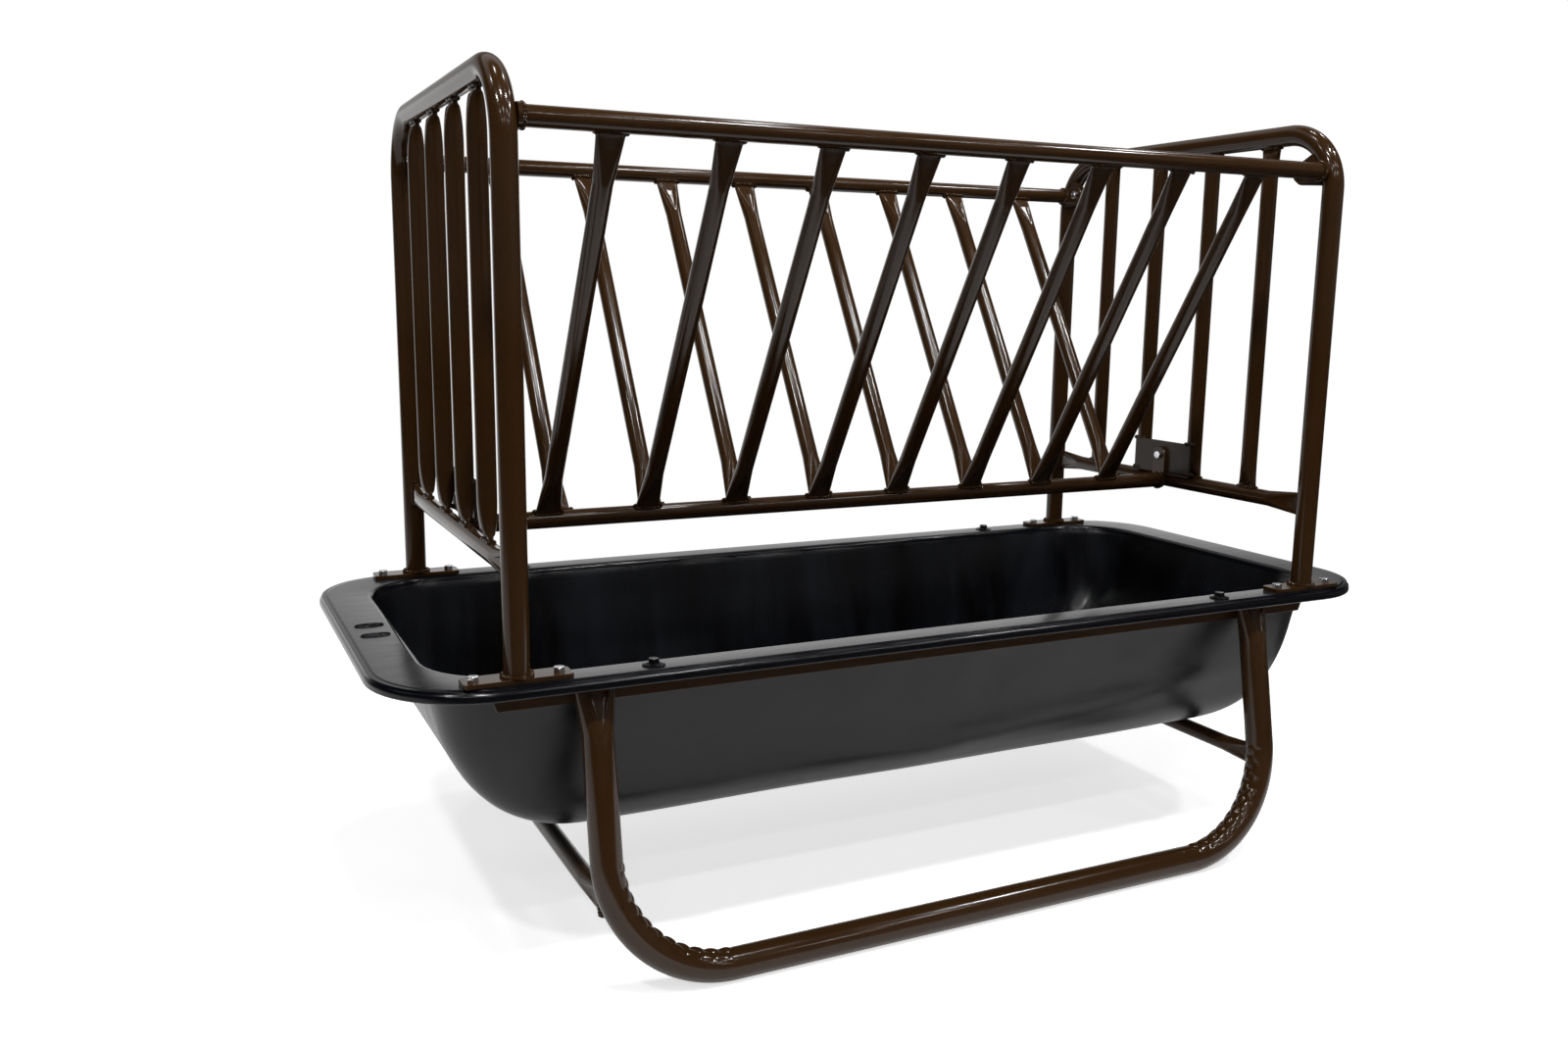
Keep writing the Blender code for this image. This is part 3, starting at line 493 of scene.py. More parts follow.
iron = bmesh.new()
corners = [(0.0, 0.0), (ANGLE_LEG, 0.0), (ANGLE_LEG, ANGLE_WALL), (ANGLE_WALL, ANGLE_WALL),
           (ANGLE_WALL, ANGLE_LEG), (0.0, ANGLE_LEG)]
section = [iron.verts.new((-HALF_ANGLE, -ANGLE_BACK - out, ANGLE_TOP - down)) for out, down in corners]
drawn = bmesh.ops.extrude_face_region(iron, geom=[iron.faces.new(section)])["geom"]
far_points = [part for part in drawn if isinstance(part, bmesh.types.BMVert)]
bmesh.ops.translate(iron, vec=(2 * HALF_ANGLE, 0, 0), verts=far_points)
for vert in iron.verts:
    if vert.co.z < ANGLE_TOP - 2 * ANGLE_WALL:
        vert.co.x -= ANGLE_CUT if vert.co.x > 0 else -ANGLE_CUT
round_edges(iron, iron.edges[:], ANGLE_EASE)
pair(("angle_iron_front", "angle_iron_rear"), iron, coat,
     ("rim_angle_front", "rim_angle_rear"))


# Skid legs
# Each is one round tube bent to a shallow U. Its tops are pressed flat and welded to the angle iron,
# and the press bends it in a row of small bites, which leave wrinkles along the inside of each bend.

X_WAY = Vector((1, 0, 0))
Y_WAY = Vector((0, 1, 0))
LEG_RADIUS = 0.02065
LEG_X = 0.542
LEG_TOP = 0.4032
LEG_BACK = 0.3039
LEG_CRIMP = 0.0075
LEG_CRIMP_LENGTH = 0.066
LEG_DENT = 0.0028
LEG_BEND = 0.160
FOOT_Y = 0.38256
FOOT_HEIGHT = 0.01995
LEG_SPLAY = atan2(0.058, LEG_TOP - LEG_CRIMP_LENGTH - FOOT_HEIGHT)
WRINKLES = 11
WRINKLE_RINGS = 14
WRINKLE_DEPTH = 0.0046
WRINKLE_SPREAD = 1.25
LEG_SIDES = 112
CRIMP_RINGS = 30
RIDGE_WIDTH = 0.0022
BEAD_SIDES = 10
BEAD_STEP = 0.0010


def pressed(centre, wide, thick, radius, half, crimp, dent, angle):
    """Point of a round tube pressed flat with its girth kept. The flats are sunk between two ridges."""
    share = (half - crimp) / (radius - crimp)
    dent *= min(4 * share, 1.6 * (1 - share), 1.0)
    spread = 0.5 * pi * (radius - half)
    girth = radius * abs(angle)
    bend = 0.5 * pi * half
    to_border = min(abs(girth - bend), abs(girth - bend - 2 * spread))
    ridge = 0.3 * dent * fall_off(to_border / RIDGE_WIDTH)
    if girth <= bend:
        turn = girth / half
        across, rise = spread + (half + ridge) * cos(turn), (half + ridge) * sin(turn)
    elif girth <= bend + 2 * spread:
        place = (girth - bend) / spread - 1
        across, rise = -spread * place, half + ridge - dent * (1 - place ** 4)
    else:
        turn = (girth - bend - 2 * spread) / half + 0.5 * pi
        across, rise = (half + ridge) * cos(turn) - spread, (half + ridge) * sin(turn)
    return centre + wide * across + thick * (rise if angle > 0 else -rise)


def wrinkle(station, around):
    """Height of the lumps inside a bend. Rows of lumps stand side by side, each row half a step on."""
    lumps = 0.0
    for row, weight in ((0.0, 1.0), (-0.62, 0.75), (0.62, 0.75)):
        shift = 0.5 if row else 0.0
        along = (station / WRINKLE_RINGS + shift) % 1.0 - 0.5
        size = 1.0 - (along / 0.52) ** 2 - ((around - row) / 0.44) ** 2
        lumps = max(lumps, weight * sqrt(max(size, 0.0)))
    return lumps


def leg_sections():
    """Centre, directions, half thickness and wrinkle station of each ring, from the top to mid length."""
    wide = Vector((-1, 0, 0))
    rings = []
    for step in range(CRIMP_RINGS + 1):
        share = step / CRIMP_RINGS
        half = LEG_CRIMP + (LEG_RADIUS - LEG_CRIMP) * share
        centre = Vector((-LEG_X, -(LEG_BACK + half), LEG_TOP - LEG_CRIMP_LENGTH * share))
        rings.append((centre, wide, Y_WAY, half, None))
    up_slope = Vector((0, sin(LEG_SPLAY), cos(LEG_SPLAY)))
    normal = Vector((0, cos(LEG_SPLAY), -sin(LEG_SPLAY)))
    bend_centre = Vector((-LEG_X + LEG_BEND, -FOOT_Y, FOOT_HEIGHT)) + up_slope * LEG_BEND
    top = rings[-1][0]
    bend_top = bend_centre + wide * LEG_BEND
    for step in range(1, 8):
        thick = Y_WAY.lerp(normal, min(2 * eased(step / 8), 1.0)).normalized()
        rings.append((top.lerp(bend_top, step / 8), wide, thick, LEG_RADIUS, None))
    stations = WRINKLES * WRINKLE_RINGS
    for station in range(stations + 1):
        turn = 0.5 * pi * station / stations
        outward = wide * cos(turn) - up_slope * sin(turn)
        rings.append((bend_centre + outward * LEG_BEND, outward, normal, LEG_RADIUS, station))
    return rings


def leg_point(rings, ring, angle):
    """Point of a leg. The right half mirrors the left one."""
    last = 2 * len(rings) - 1
    centre, wide, thick, half, station = rings[min(ring, last - ring)]
    if half < LEG_RADIUS - 0.00001:
        point = pressed(centre, wide, thick, LEG_RADIUS, half, LEG_CRIMP, LEG_DENT, angle)
    else:
        radius = LEG_RADIUS
        if station is not None:
            inside = angle - pi if angle > 0 else angle + pi
            hollow = fall_off(inside / WRINKLE_SPREAD) * WRINKLE_DEPTH
            fade = min(station / 5, (WRINKLES * WRINKLE_RINGS - station) / 5, 1.0)
            radius += fade * hollow * (wrinkle(station, inside) - 0.62)
        point = centre + wide * (radius * cos(angle)) + thick * (radius * sin(angle))
    return Vector((-point.x, point.y, point.z)) if ring > last - ring else point


def add_bead(bm, centre, along, across, half_length, half_width, size, seed, lumps=0.18):
    """Lay a lumpy ring of weld metal round a joint, in the plane of two directions."""
    steps = max(36, int(2 * pi * max(half_length, half_width) / BEAD_STEP))
    up = along.cross(across).normalized()
    straight = max(half_length - half_width, 0.0)

    def bead_point(ring, angle):
        turn = 2 * pi * (ring % steps) / steps
        reach = straight * max(min(1.7 * cos(turn), 1.0), -1.0)
        spot = along * (reach + half_width * cos(turn)) + across * (half_width * sin(turn))
        outward = (along * (cos(turn) / half_length) + across * (sin(turn) / half_width)).normalized()
        ripple = lumps * sin(steps * turn / 3.3 + seed) + 0.8 * lumps * noise.noise(spot * 700)
        girth = size * (1 + ripple + 0.5 * noise.noise(spot * 150 + Vector((seed, 0, 0))))
        return centre + spot + outward * (girth * cos(angle)) + up * (girth * sin(angle))

    add_ring(bm, BEAD_SIDES, steps, bead_point)


leg_rings = leg_sections()
leg = straight_tube(LEG_SIDES, 2 * len(leg_rings))
draw_tube(leg, lambda ring, angle: leg_point(leg_rings, ring, angle))
for side in (-1, 1):
    leg_head = Vector((side * LEG_X, -(LEG_BACK + LEG_CRIMP), LEG_TOP + 0.0002))
    add_bead(leg, leg_head, X_WAY, Y_WAY, 0.5 * pi * (LEG_RADIUS - LEG_CRIMP) + LEG_CRIMP, LEG_CRIMP,
             0.0022, 3.0 + side)
pair(("skid_leg_front", "skid_leg_rear"), leg, coat,
     ("leg_tube_front", "leg_tube_rear"), 60)


# Cross tubes
# A thin tube joins the front leg to the rear one at each end, under the tub. Its ends are pressed
# tall and cut to the slant of the legs, and a weld runs round each.

Z_WAY = Vector((0, 0, 1))
BRACE_HEIGHTS = {"left": 0.121, "right": 0.148}
BRACE_RADIUS = 0.0127
BRACE_CRIMP = 0.004
BRACE_CRIMP_LENGTH = 0.065
BRACE_SIDES = 48
SLANT_START = 0.9
PRESSED_END = 0.006
TUBE_CRIMP_RINGS = 22
TUBE_DENT = 0.0014


def crimped_rings(start, end, crimp, length, radius, spoon):
    """Centre and half thickness of each ring of a tube whose pressed ends open evenly or like a spoon."""
    axis = (end - start).normalized()
    total = (end - start).length
    opening = length - PRESSED_END
    near = [0.0, *(PRESSED_END + opening * step / TUBE_CRIMP_RINGS for step in range(TUBE_CRIMP_RINGS + 1))]
    middle = [length + (total - 2 * length) * step / 4 for step in (1, 2, 3)]
    rings = []
    for place in near + middle + [total - gap for gap in near[::-1]]:
        share = limit_share((min(place, total - place) - PRESSED_END) / opening)
        if spoon:
            share = sqrt(1 - (1 - share) ** 2)
        rings.append((start + axis * place, crimp + (radius - crimp) * share))
    return rings


def crimped_tube(start, end, wide, crimp, length, radius, sides, spoon=False):
    """Straight round tube with both ends pressed flat, wide in one direction."""
    thick = (end - start).normalized().cross(wide).normalized()
    rings = crimped_rings(start, end, crimp, length, radius, spoon)
    bm = straight_tube(sides, len(rings))

    def point(ring, angle):
        centre, half = rings[ring]
        return pressed(centre, wide, thick, radius, half, crimp, TUBE_DENT, angle)

    draw_tube(bm, point)
    return bm


for side, end_name in ((-1, "left"), (1, "right")):
    node = f"cross_tube_{end_name}"
    height = BRACE_HEIGHTS[end_name]
    low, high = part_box(node)
    brace_x = 0.5 * (low.x + high.x)
    reach = high.y - 0.004
    start, end = Vector((brace_x, -reach, height)), Vector((brace_x, reach, height))
    brace = crimped_tube(start, end, Z_WAY, BRACE_CRIMP, BRACE_CRIMP_LENGTH, BRACE_RADIUS, BRACE_SIDES)
    for vert in brace.verts:
        slant = (height - vert.co.z) * tan(LEG_SPLAY)
        share = max(abs(vert.co.y) / reach - SLANT_START, 0.0) / (1 - SLANT_START)
        vert.co.y += (slant if vert.co.y > 0 else -slant) * share
    for y in (-1, 1):
        lean = Vector((0, -y * sin(LEG_SPLAY), cos(LEG_SPLAY)))
        add_bead(brace, Vector((brace_x, y * (reach + 0.001), height)), lean, X_WAY,
                 0.5 * pi * (BRACE_RADIUS - BRACE_CRIMP) + BRACE_CRIMP + 0.001, BRACE_CRIMP + 0.0015, 0.0026,
                 side + 2.0 * y)
    put(f"brace_{end_name}", brace, [coat], [node])


# Rim bolts
# Black hexagon bolts on dished washers hold the ledge down to the angle irons between the end frames.

POST_Y = 0.32225
RIM_BOLT_X = 0.467
RIM_BOLT_GAP = 0.0003
BOLT_FLATS = 0.013
BOLT_SIDES = 36
BOLT_CHAMFER = 0.0012
BOLT_NUT = 0.0065
SHANK = 0.004
THREAD_PITCH = 0.00125

# Height and radius round the dished washer, and height of the bolt head's top
WASHER = ((-0.0002, 0.006), (0.0, 0.0142), (0.0004, 0.0148), (0.0011, 0.0149), (0.0016, 0.0143),
          (0.0019, 0.0118), (0.0026, 0.0094), (0.0031, 0.0080), (0.0032, 0.0072))
WASHER_TOP = 0.0032
HEAD_TOP = 0.0085


def plain_finish(name, dark, pale, smooth, rough, metallic, scale, shine=0.5):
    """Bare or plated steel with a cloudy, finely pitted surface."""
    material, tree, shader, place = start_material(name)
    clouds = cloud(tree, place, scale, 4.0)
    pits = cloud(tree, place, 12 * scale, 2.0)
    dress(tree, shader, mix_colours(tree, clouds, dark, pale),
          change(tree, clouds, 0.3, 0.7, smooth, rough), pits, 0.4, 0.0001)
    feed(tree, shader, {"Metallic": metallic, "Specular IOR Level": shine})
    return material


def hexagon(angle, flats):
    """Distance from the middle of a hexagon to its side in one direction."""
    within = (angle + pi / 6) % (pi / 3) - pi / 6
    return 0.5 * flats / cos(within)


def turned_rings(profile, seat, axis):
    """Solid along an axis through rings of (distance, radius, flats), where flats is 0 for a round ring."""
    wide = axis.orthogonal().normalized()
    thick = axis.cross(wide)
    bm = straight_tube(BOLT_SIDES, len(profile))

    def point(ring, angle):
        along, radius, flats = profile[ring]
        if flats:
            radius = min(hexagon(angle, flats), radius)
        return seat + axis * along + wide * (radius * cos(angle)) + thick * (radius * sin(angle))

    draw_tube(bm, point)
    return bm


def hexagon_part(start, end, chamfer_start=True, chamfer_end=True):
    """Rings of a hexagon whose ends are turned to a cone where they show."""
    corner, inner = 0.58 * BOLT_FLATS, 0.485 * BOLT_FLATS
    cone = [(BOLT_CHAMFER * share, inner + (corner - inner) * share) for share in (0.0, 0.33, 0.66, 1.0)]
    near = cone if chamfer_start else [(0.0, corner)]
    far = cone[::-1] if chamfer_end else [(0.0, corner)]
    rings = [(start + rise, radius, BOLT_FLATS) for rise, radius in near]
    return rings + [(end - rise, radius, BOLT_FLATS) for rise, radius in far]


def thread(start, length):
    """Rings of a bolt's threaded tip, with a blunt end."""
    rings = []
    turns = max(int(length / THREAD_PITCH), 2)
    for turn in range(turns):
        rings += [(start + length * turn / turns, SHANK, 0),
                  (start + length * (turn + 0.5) / turns, SHANK - 0.0006, 0)]
    return rings + [(start + length, SHANK - 0.0004, 0), (start + length + 0.0004, SHANK - 0.0012, 0)]


black_steel = plain_finish("black_oxide", (0.0012, 0.0012, 0.0014), (0.004, 0.004, 0.0044), 0.16, 0.28, 0.0,
                           160.0, 0.22)
for x, near, far in ((-RIM_BOLT_X, "left", "right"), (RIM_BOLT_X, "right", "left")):
    washer = [(rise, radius, 0) for rise, radius in WASHER]
    head = hexagon_part(WASHER_TOP, HEAD_TOP, False) + [(HEAD_TOP - 0.0002, SHANK, 0)]
    bolt = turned_rings(washer + head, Vector((x, -POST_Y, RIM_TOP + RIM_BOLT_GAP)), Z_WAY)
    below = Vector((x, -POST_Y, ANGLE_TOP - ANGLE_WALL - RIM_BOLT_GAP))
    nut = [(-0.001, SHANK, 0)] + hexagon_part(0.0, BOLT_NUT) + thread(BOLT_NUT - 0.0001, 0.0028)
    join(bolt, turned_rings(nut, below, Vector((0, 0, -1))))
    pair((f"rim_screw_front_{near}", f"rim_screw_rear_{far}"), bolt, black_steel,
         (f"rim_bolt_front_{near}", f"rim_bolt_rear_{far}"), 32)


# End frames
# Each is a tube bent to a hoop that stands on two small plates bolted to the ledge. A corner plate
# is welded inside each bend for the rack's bolt. Weld metal runs round every foot.

FRAME_X = 0.640
HOOP_RADIUS = 0.0159
HOOP_TOP = 1.1251
HOOP_BEND = 0.090
HOOP_SIDES = 48
POST_RINGS = 9
BEND_RINGS = 24
POST_FOOT = 0.4123
PLATE_LENGTH = 0.133
PLATE_WIDTH = 0.036
PLATE_DEPTH = 0.006
PLATE_CORNER = 0.006
PLATE_EASE = 0.0008
GUSSET_NOSE = 0.018
GUSSET_DEPTH = 0.005
GUSSET_LAP = 0.081
GUSSET_START = 0.125
GUSSET_SWEEP = radians(43)
GUSSET_ROUND = 0.002
FRAME_INNER = 0.6241
NOSE_Y = 0.27625
RACK_TOP = 1.0635
SHARP_TURN = 1.2


def bent_hoop():
    """Hoop of round tube in the plane of the left end."""
    out = Vector((-1, 0, 0))
    tube_foot = POST_FOOT + PLATE_DEPTH - 0.001
    post = HOOP_TOP - HOOP_BEND - POST_FOOT - PLATE_DEPTH
    path = []
    for step in range(POST_RINGS):
        path.append((Vector((-FRAME_X, -POST_Y, tube_foot + post * step / POST_RINGS)), Vector((0, -1, 0))))
    bend_centre = Vector((-FRAME_X, -(POST_Y - HOOP_BEND), HOOP_TOP - HOOP_BEND))
    for step in range(BEND_RINGS + 1):
        turn = 0.5 * pi * step / BEND_RINGS
        outward = Vector((0, -cos(turn), sin(turn)))
        path.append((bend_centre + outward * HOOP_BEND, outward))
    mirrored = [(Vector((spot.x, -spot.y, spot.z)), Vector((0, -way.y, way.z))) for spot, way in path[::-1]]
    middle = [(Vector((-FRAME_X, y, HOOP_TOP)), Z_WAY) for y in (-0.12, 0.0, 0.12)]
    path = path + middle + mirrored
    bm = straight_tube(HOOP_SIDES, len(path))
    draw_tube(bm, lambda ring, angle: path[ring][0] + out * (HOOP_RADIUS * cos(angle))
              + path[ring][1] * (HOOP_RADIUS * sin(angle)))
    return bm


def ease_edges(bm, size):
    """Round the edges where two faces meet sharply."""
    rims = [edge for edge in bm.edges if len(edge.link_faces) == 2 and edge.calc_face_angle() > SHARP_TURN]
    round_edges(bm, rims, size)


def add_block(bm, size, centre, corner, ease):
    """Flat bar with round corners and eased edges."""
    block = bmesh.new()
    bmesh.ops.create_cube(block, size=1.0)
    bmesh.ops.scale(block, vec=size, verts=block.verts)
    thin = min(range(3), key=lambda axis: size[axis])
    if corner:
        short = [edge for edge in block.edges
                 if abs(edge.verts[0].co[thin] - edge.verts[1].co[thin]) > 0.5 * size[thin]]
        round_edges(block, short, corner, 6)
    ease_edges(block, ease)
    bmesh.ops.translate(block, vec=centre, verts=block.verts)
    join(bm, block)


def add_hull_plate(bm, rounds, inner_x, outer_x):
    """Flat plate in an upright plane across X: the outline pulled tight round some discs."""
    plate = bmesh.new()
    for y, z, radius in rounds:
        turn = Matrix.Translation((0.5 * (inner_x + outer_x), y, z)) @ Matrix.Rotation(0.5 * pi, 4, "Y")
        bmesh.ops.create_cone(plate, cap_ends=True, segments=32, radius1=radius, radius2=radius,
                              depth=abs(outer_x - inner_x), matrix=turn)
    hull = bmesh.ops.convex_hull(plate, input=plate.verts)
    left_over = set(hull["geom_interior"] + hull["geom_unused"])
    spare = [part for part in left_over if isinstance(part, bmesh.types.BMVert)]
    bmesh.ops.delete(plate, geom=spare, context="VERTS")
    bmesh.ops.remove_doubles(plate, verts=plate.verts, dist=0.00001)
    bmesh.ops.dissolve_limit(plate, angle_limit=radians(1.5), verts=plate.verts, edges=plate.edges)
    ease_edges(plate, 0.0006)
    join(bm, plate)


hoop = bent_hoop()
for side in (-1, 1):
    foot = Vector((-FRAME_X, side * POST_Y, POST_FOOT + 0.5 * PLATE_DEPTH))
    add_block(hoop, (PLATE_LENGTH, PLATE_WIDTH, PLATE_DEPTH), foot, PLATE_CORNER, PLATE_EASE)
    add_bead(hoop, foot + Vector((0, 0, 0.5 * PLATE_DEPTH + 0.0012)), X_WAY, Y_WAY,
             HOOP_RADIUS + 0.0016, HOOP_RADIUS + 0.0014, 0.0030, 5.0 + side, 0.3)
    bend_y, bend_z = side * (POST_Y - HOOP_BEND), HOOP_TOP - HOOP_BEND
    sweep = GUSSET_LAP - GUSSET_ROUND
    rounds = [(side * NOSE_Y, RACK_TOP, GUSSET_NOSE)]
    for step in range(6):
        turn = GUSSET_START + (GUSSET_SWEEP - GUSSET_START) * step / 5
        rounds.append((bend_y + side * sweep * cos(turn), bend_z + sweep * sin(turn), GUSSET_ROUND))
    add_hull_plate(hoop, rounds, -FRAME_INNER, -FRAME_INNER - GUSSET_DEPTH)
pair(("hoop_left", "hoop_right"), hoop, coat, ("end_hoop_left", "end_hoop_right"))


# Lower rails
# A tube across each end frame, pressed tall where it meets the posts, carries the feet of the pickets.

RAIL_RADIUS = 0.0127
RAIL_HEIGHT = 0.547
CRIMP = 0.0032
CRIMP_LENGTH = 0.065
RAIL_SIDES = 72
CRIMP_WIDTH = 0.5 * pi * (RAIL_RADIUS - CRIMP) + CRIMP
END_BITE = 0.0006

post_face = POST_Y - HOOP_RADIUS
start, end = (Vector((-FRAME_X, side * (post_face + END_BITE), RAIL_HEIGHT)) for side in (-1, 1))
lower_rail = crimped_tube(start, end, Z_WAY, CRIMP, CRIMP_LENGTH, RAIL_RADIUS, RAIL_SIDES)
for side in (-1, 1):
    joint = Vector((-FRAME_X, side * post_face, RAIL_HEIGHT))
    add_bead(lower_rail, joint, Z_WAY, X_WAY, CRIMP_WIDTH + 0.001, CRIMP + 0.001, 0.0021, 7.0 + side)
pair(("lower_rail_left", "lower_rail_right"), lower_rail, coat,
     ("end_rail_left", "end_rail_right"))


# End pickets
# Four upright tubes fill each end frame. Both ends are pressed flat along the rail, and welded.

PICKET_RADIUS = 0.0127
PICKET_FOOT = 0.5596
PICKET_HEAD = 1.1094
END_PITCH = 0.1289
SPOON_LENGTH = 0.058

for number in range(4):
    y = (number - 1.5) * END_PITCH
    foot, head = Vector((-FRAME_X, y, PICKET_FOOT)), Vector((-FRAME_X, y, PICKET_HEAD))
    bar = crimped_tube(foot, head, Y_WAY, CRIMP, SPOON_LENGTH, PICKET_RADIUS, RAIL_SIDES, spoon=True)
    for spot, seed in ((foot, 1.0), (head, 4.0)):
        add_bead(bar, spot, Y_WAY, X_WAY, CRIMP_WIDTH + 0.0015, CRIMP + 0.0008, 0.0024, seed + y * 50)
    pair((f"end_bar_left_{number + 1}", f"end_bar_right_{4 - number}"), bar, coat,
         (f"end_picket_left_{number + 1}", f"end_picket_right_{4 - number}"))


# Middle plates
# A flat plate across the two middle pickets of each end takes the bolt of the rack's floor rail.
# It is tacked to the pickets at its corners, and its coat is thinner and duller than the tubes'.

MIDDLE_FACE = 0.6291
MIDDLE_DEPTH = 0.005
MIDDLE_HEIGHT = 0.0575
MIDDLE_LAP = 0.006
TACK_INSET = 0.006

# The third colour is the flecks' paler tone, a painted glint.
plate_coat = powder_coat("plate_coat", (0.026, 0.0150, 0.0085), (0.034, 0.0200, 0.0115), (0.09, 0.055, 0.03),
                         0.30, 0.40, coat_group)
plate = bmesh.new()
half_plate = 0.5 * END_PITCH + MIDDLE_LAP
add_block(plate, (MIDDLE_DEPTH, 2 * half_plate, MIDDLE_HEIGHT),
          Vector((-MIDDLE_FACE + 0.5 * MIDDLE_DEPTH, 0, PICKET_FOOT + 0.5 * MIDDLE_HEIGHT)), 0.0, 0.0006)
for side in (-1, 1):
    for height, seed in ((PICKET_FOOT + MIDDLE_HEIGHT, 2.0), (PICKET_FOOT + 0.004, 6.0)):
        tack = Vector((-MIDDLE_FACE + 0.001, side * (half_plate - TACK_INSET), height))
        add_bead(plate, tack, Y_WAY, X_WAY, 0.0090, 0.0030, 0.0024, seed + side, 0.3)
pair(("middle_plate_left", "middle_plate_right"), plate, plate_coat,
     ("rack_plate_left", "rack_plate_right"))


# Rack rails
# Two top rails and a floor rail run from end to end. A round-nosed tab is welded across each end,
# and reaches in to the corner plate or up to the middle plate, where one bolt holds it.

RACK_Y = 0.31425
TAB_DEPTH = 0.006
HALF_TAB = 0.015
TAB_FACE = 0.6238
MIDDLE_BOLT = 0.592


def rail_with_tabs(y, height, nose_y, nose_z):
    """Rail along X with a tab and a ring of weld at each end."""
    places = [TAB_FACE - 0.002, *(TAB_FACE * (1 - step / 12) for step in range(1, 24)), -(TAB_FACE - 0.002)]
    bm = straight_tube(RAIL_SIDES, len(places))
    draw_tube(bm, lambda ring, angle: Vector((places[ring], y + RAIL_RADIUS * cos(angle),
                                              height + RAIL_RADIUS * sin(angle))))
    for side in (-1, 1):
        add_hull_plate(bm, [(y, height, HALF_TAB), (nose_y, nose_z, HALF_TAB)],
                       side * TAB_FACE, side * (TAB_FACE - TAB_DEPTH))
        add_bead(bm, Vector((side * (TAB_FACE - TAB_DEPTH - 0.0008), y, height)), Y_WAY,
                 Z_WAY, RAIL_RADIUS + 0.001, RAIL_RADIUS + 0.0008, 0.0024, 9.0 + side, 0.25)
    return bm


top_rail = rail_with_tabs(-RACK_Y, RACK_TOP, -NOSE_Y, RACK_TOP)
pair(("top_rail_front", "top_rail_rear"), top_rail, coat,
     ("rack_rail_front", "rack_rail_rear"))
floor_rail = rail_with_tabs(0.0, RAIL_HEIGHT, 0.0, MIDDLE_BOLT)
put("floor_rail", floor_rail, [coat], ["rack_rail_floor"])


# Rack pickets
# Eight tubes on each side slope down from a top rail to the floor rail and form the V that holds the
# hay. The press leaves a flat three-cornered facet at each end, and weld fills the joint to the rail.

RACK_PITCH = 0.1422
STAGGER = 0.0045
OUTER_SHIFT = 0.008


def rack_picket(x):
    """Sloping picket of the front side, with the weld at both ends."""
    top, low = Vector((x, -RACK_Y, RACK_TOP)), Vector((x, 0, RAIL_HEIGHT))
    axis = (low - top).normalized()
    across = axis.cross(X_WAY).normalized()
    start, end = top + axis * (RAIL_RADIUS - END_BITE), low - axis * (RAIL_RADIUS - END_BITE)
    bm = crimped_tube(start, end, X_WAY, CRIMP, CRIMP_LENGTH, PICKET_RADIUS, RAIL_SIDES)
    for spot, seed in ((start + axis * 0.0008, 1.0), (end - axis * 0.0008, 5.0)):
        add_bead(bm, spot, X_WAY, across, CRIMP_WIDTH + 0.0025, CRIMP + 0.001, 0.0025, seed + 40 * x, 0.25)
    return bm


for number in range(8):
    x = (number - 3.5) * RACK_PITCH - STAGGER - (OUTER_SHIFT if number == 0 else 0.0)
    pair((f"sloping_bar_front_{number + 1}", f"sloping_bar_rear_{8 - number}"), rack_picket(x), coat,
         (f"rack_picket_front_{number + 1}", f"rack_picket_rear_{8 - number}"))


# Zinc bolts
# Bright zinc-plated hexagon bolts and nuts hold the end frames to the trough and the rack to them.

BOLT_GAP = 0.0003
BOLT_HEAD = 0.0053
BOLT_TIP = 0.0035
FOOT_BOLTS_X = {"outer": -0.692, "inner": -0.588}


def zinc_bolt(seat, axis, grip):
    """Hexagon bolt with its nut. The axis runs from the head to the nut."""
    head_top, nut_seat = -BOLT_GAP - BOLT_HEAD, grip + BOLT_GAP
    profile = [(head_top + 0.0002, 0.0035, 0)] + hexagon_part(head_top, -BOLT_GAP, True, False)
    profile += [(-BOLT_GAP, SHANK, 0), (nut_seat, SHANK, 0)] + hexagon_part(nut_seat, nut_seat + BOLT_NUT)
    profile += thread(nut_seat + BOLT_NUT - 0.0001, BOLT_TIP - 0.0005)
    return turned_rings(profile, seat, axis)


zinc = plain_finish("bright_zinc", (0.62, 0.63, 0.65), (0.86, 0.87, 0.90), 0.16, 0.30, 1.0, 260.0)
twin_ends = ((-1, "front_left", "rear_right"), (1, "rear_left", "front_right"))
plate_top = POST_FOOT + PLATE_DEPTH
for place, x in FOOT_BOLTS_X.items():
    under = ANGLE_TOP - ANGLE_WALL if place == "inner" else RIM_UNDERSIDE
    for side, near, far in twin_ends:
        bolt = zinc_bolt(Vector((x, side * POST_Y, plate_top)), Vector((0, 0, -1)), plate_top - under)
        pair((f"foot_screw_{near}_{place}", f"foot_screw_{far}_{place}"), bolt, zinc,
             (f"foot_bolt_{near}_{place}", f"foot_bolt_{far}_{place}"), 32)

outward = Vector((-1, 0, 0))
for side, near, far in twin_ends:
    bolt = zinc_bolt(Vector((-(TAB_FACE - TAB_DEPTH), side * NOSE_Y, RACK_TOP)), outward,
                     TAB_DEPTH + BOLT_GAP + GUSSET_DEPTH)
    pair((f"rack_screw_{near}", f"rack_screw_{far}"), bolt, zinc,
         (f"rack_bolt_{near}", f"rack_bolt_{far}"), 32)
bolt = zinc_bolt(Vector((-(TAB_FACE - TAB_DEPTH), 0, MIDDLE_BOLT)), outward,
                 TAB_DEPTH + BOLT_GAP + MIDDLE_DEPTH)
pair(("rack_screw_floor_left", "rack_screw_floor_right"), bolt, zinc,
     ("rack_bolt_floor_left", "rack_bolt_floor_right"), 32)


# Studio
# A white sheet lies under the object and runs up to a white backdrop behind it. Its front edge ends
# just before the object, the room behind the camera is dim, and small lamps hang in rows overhead.

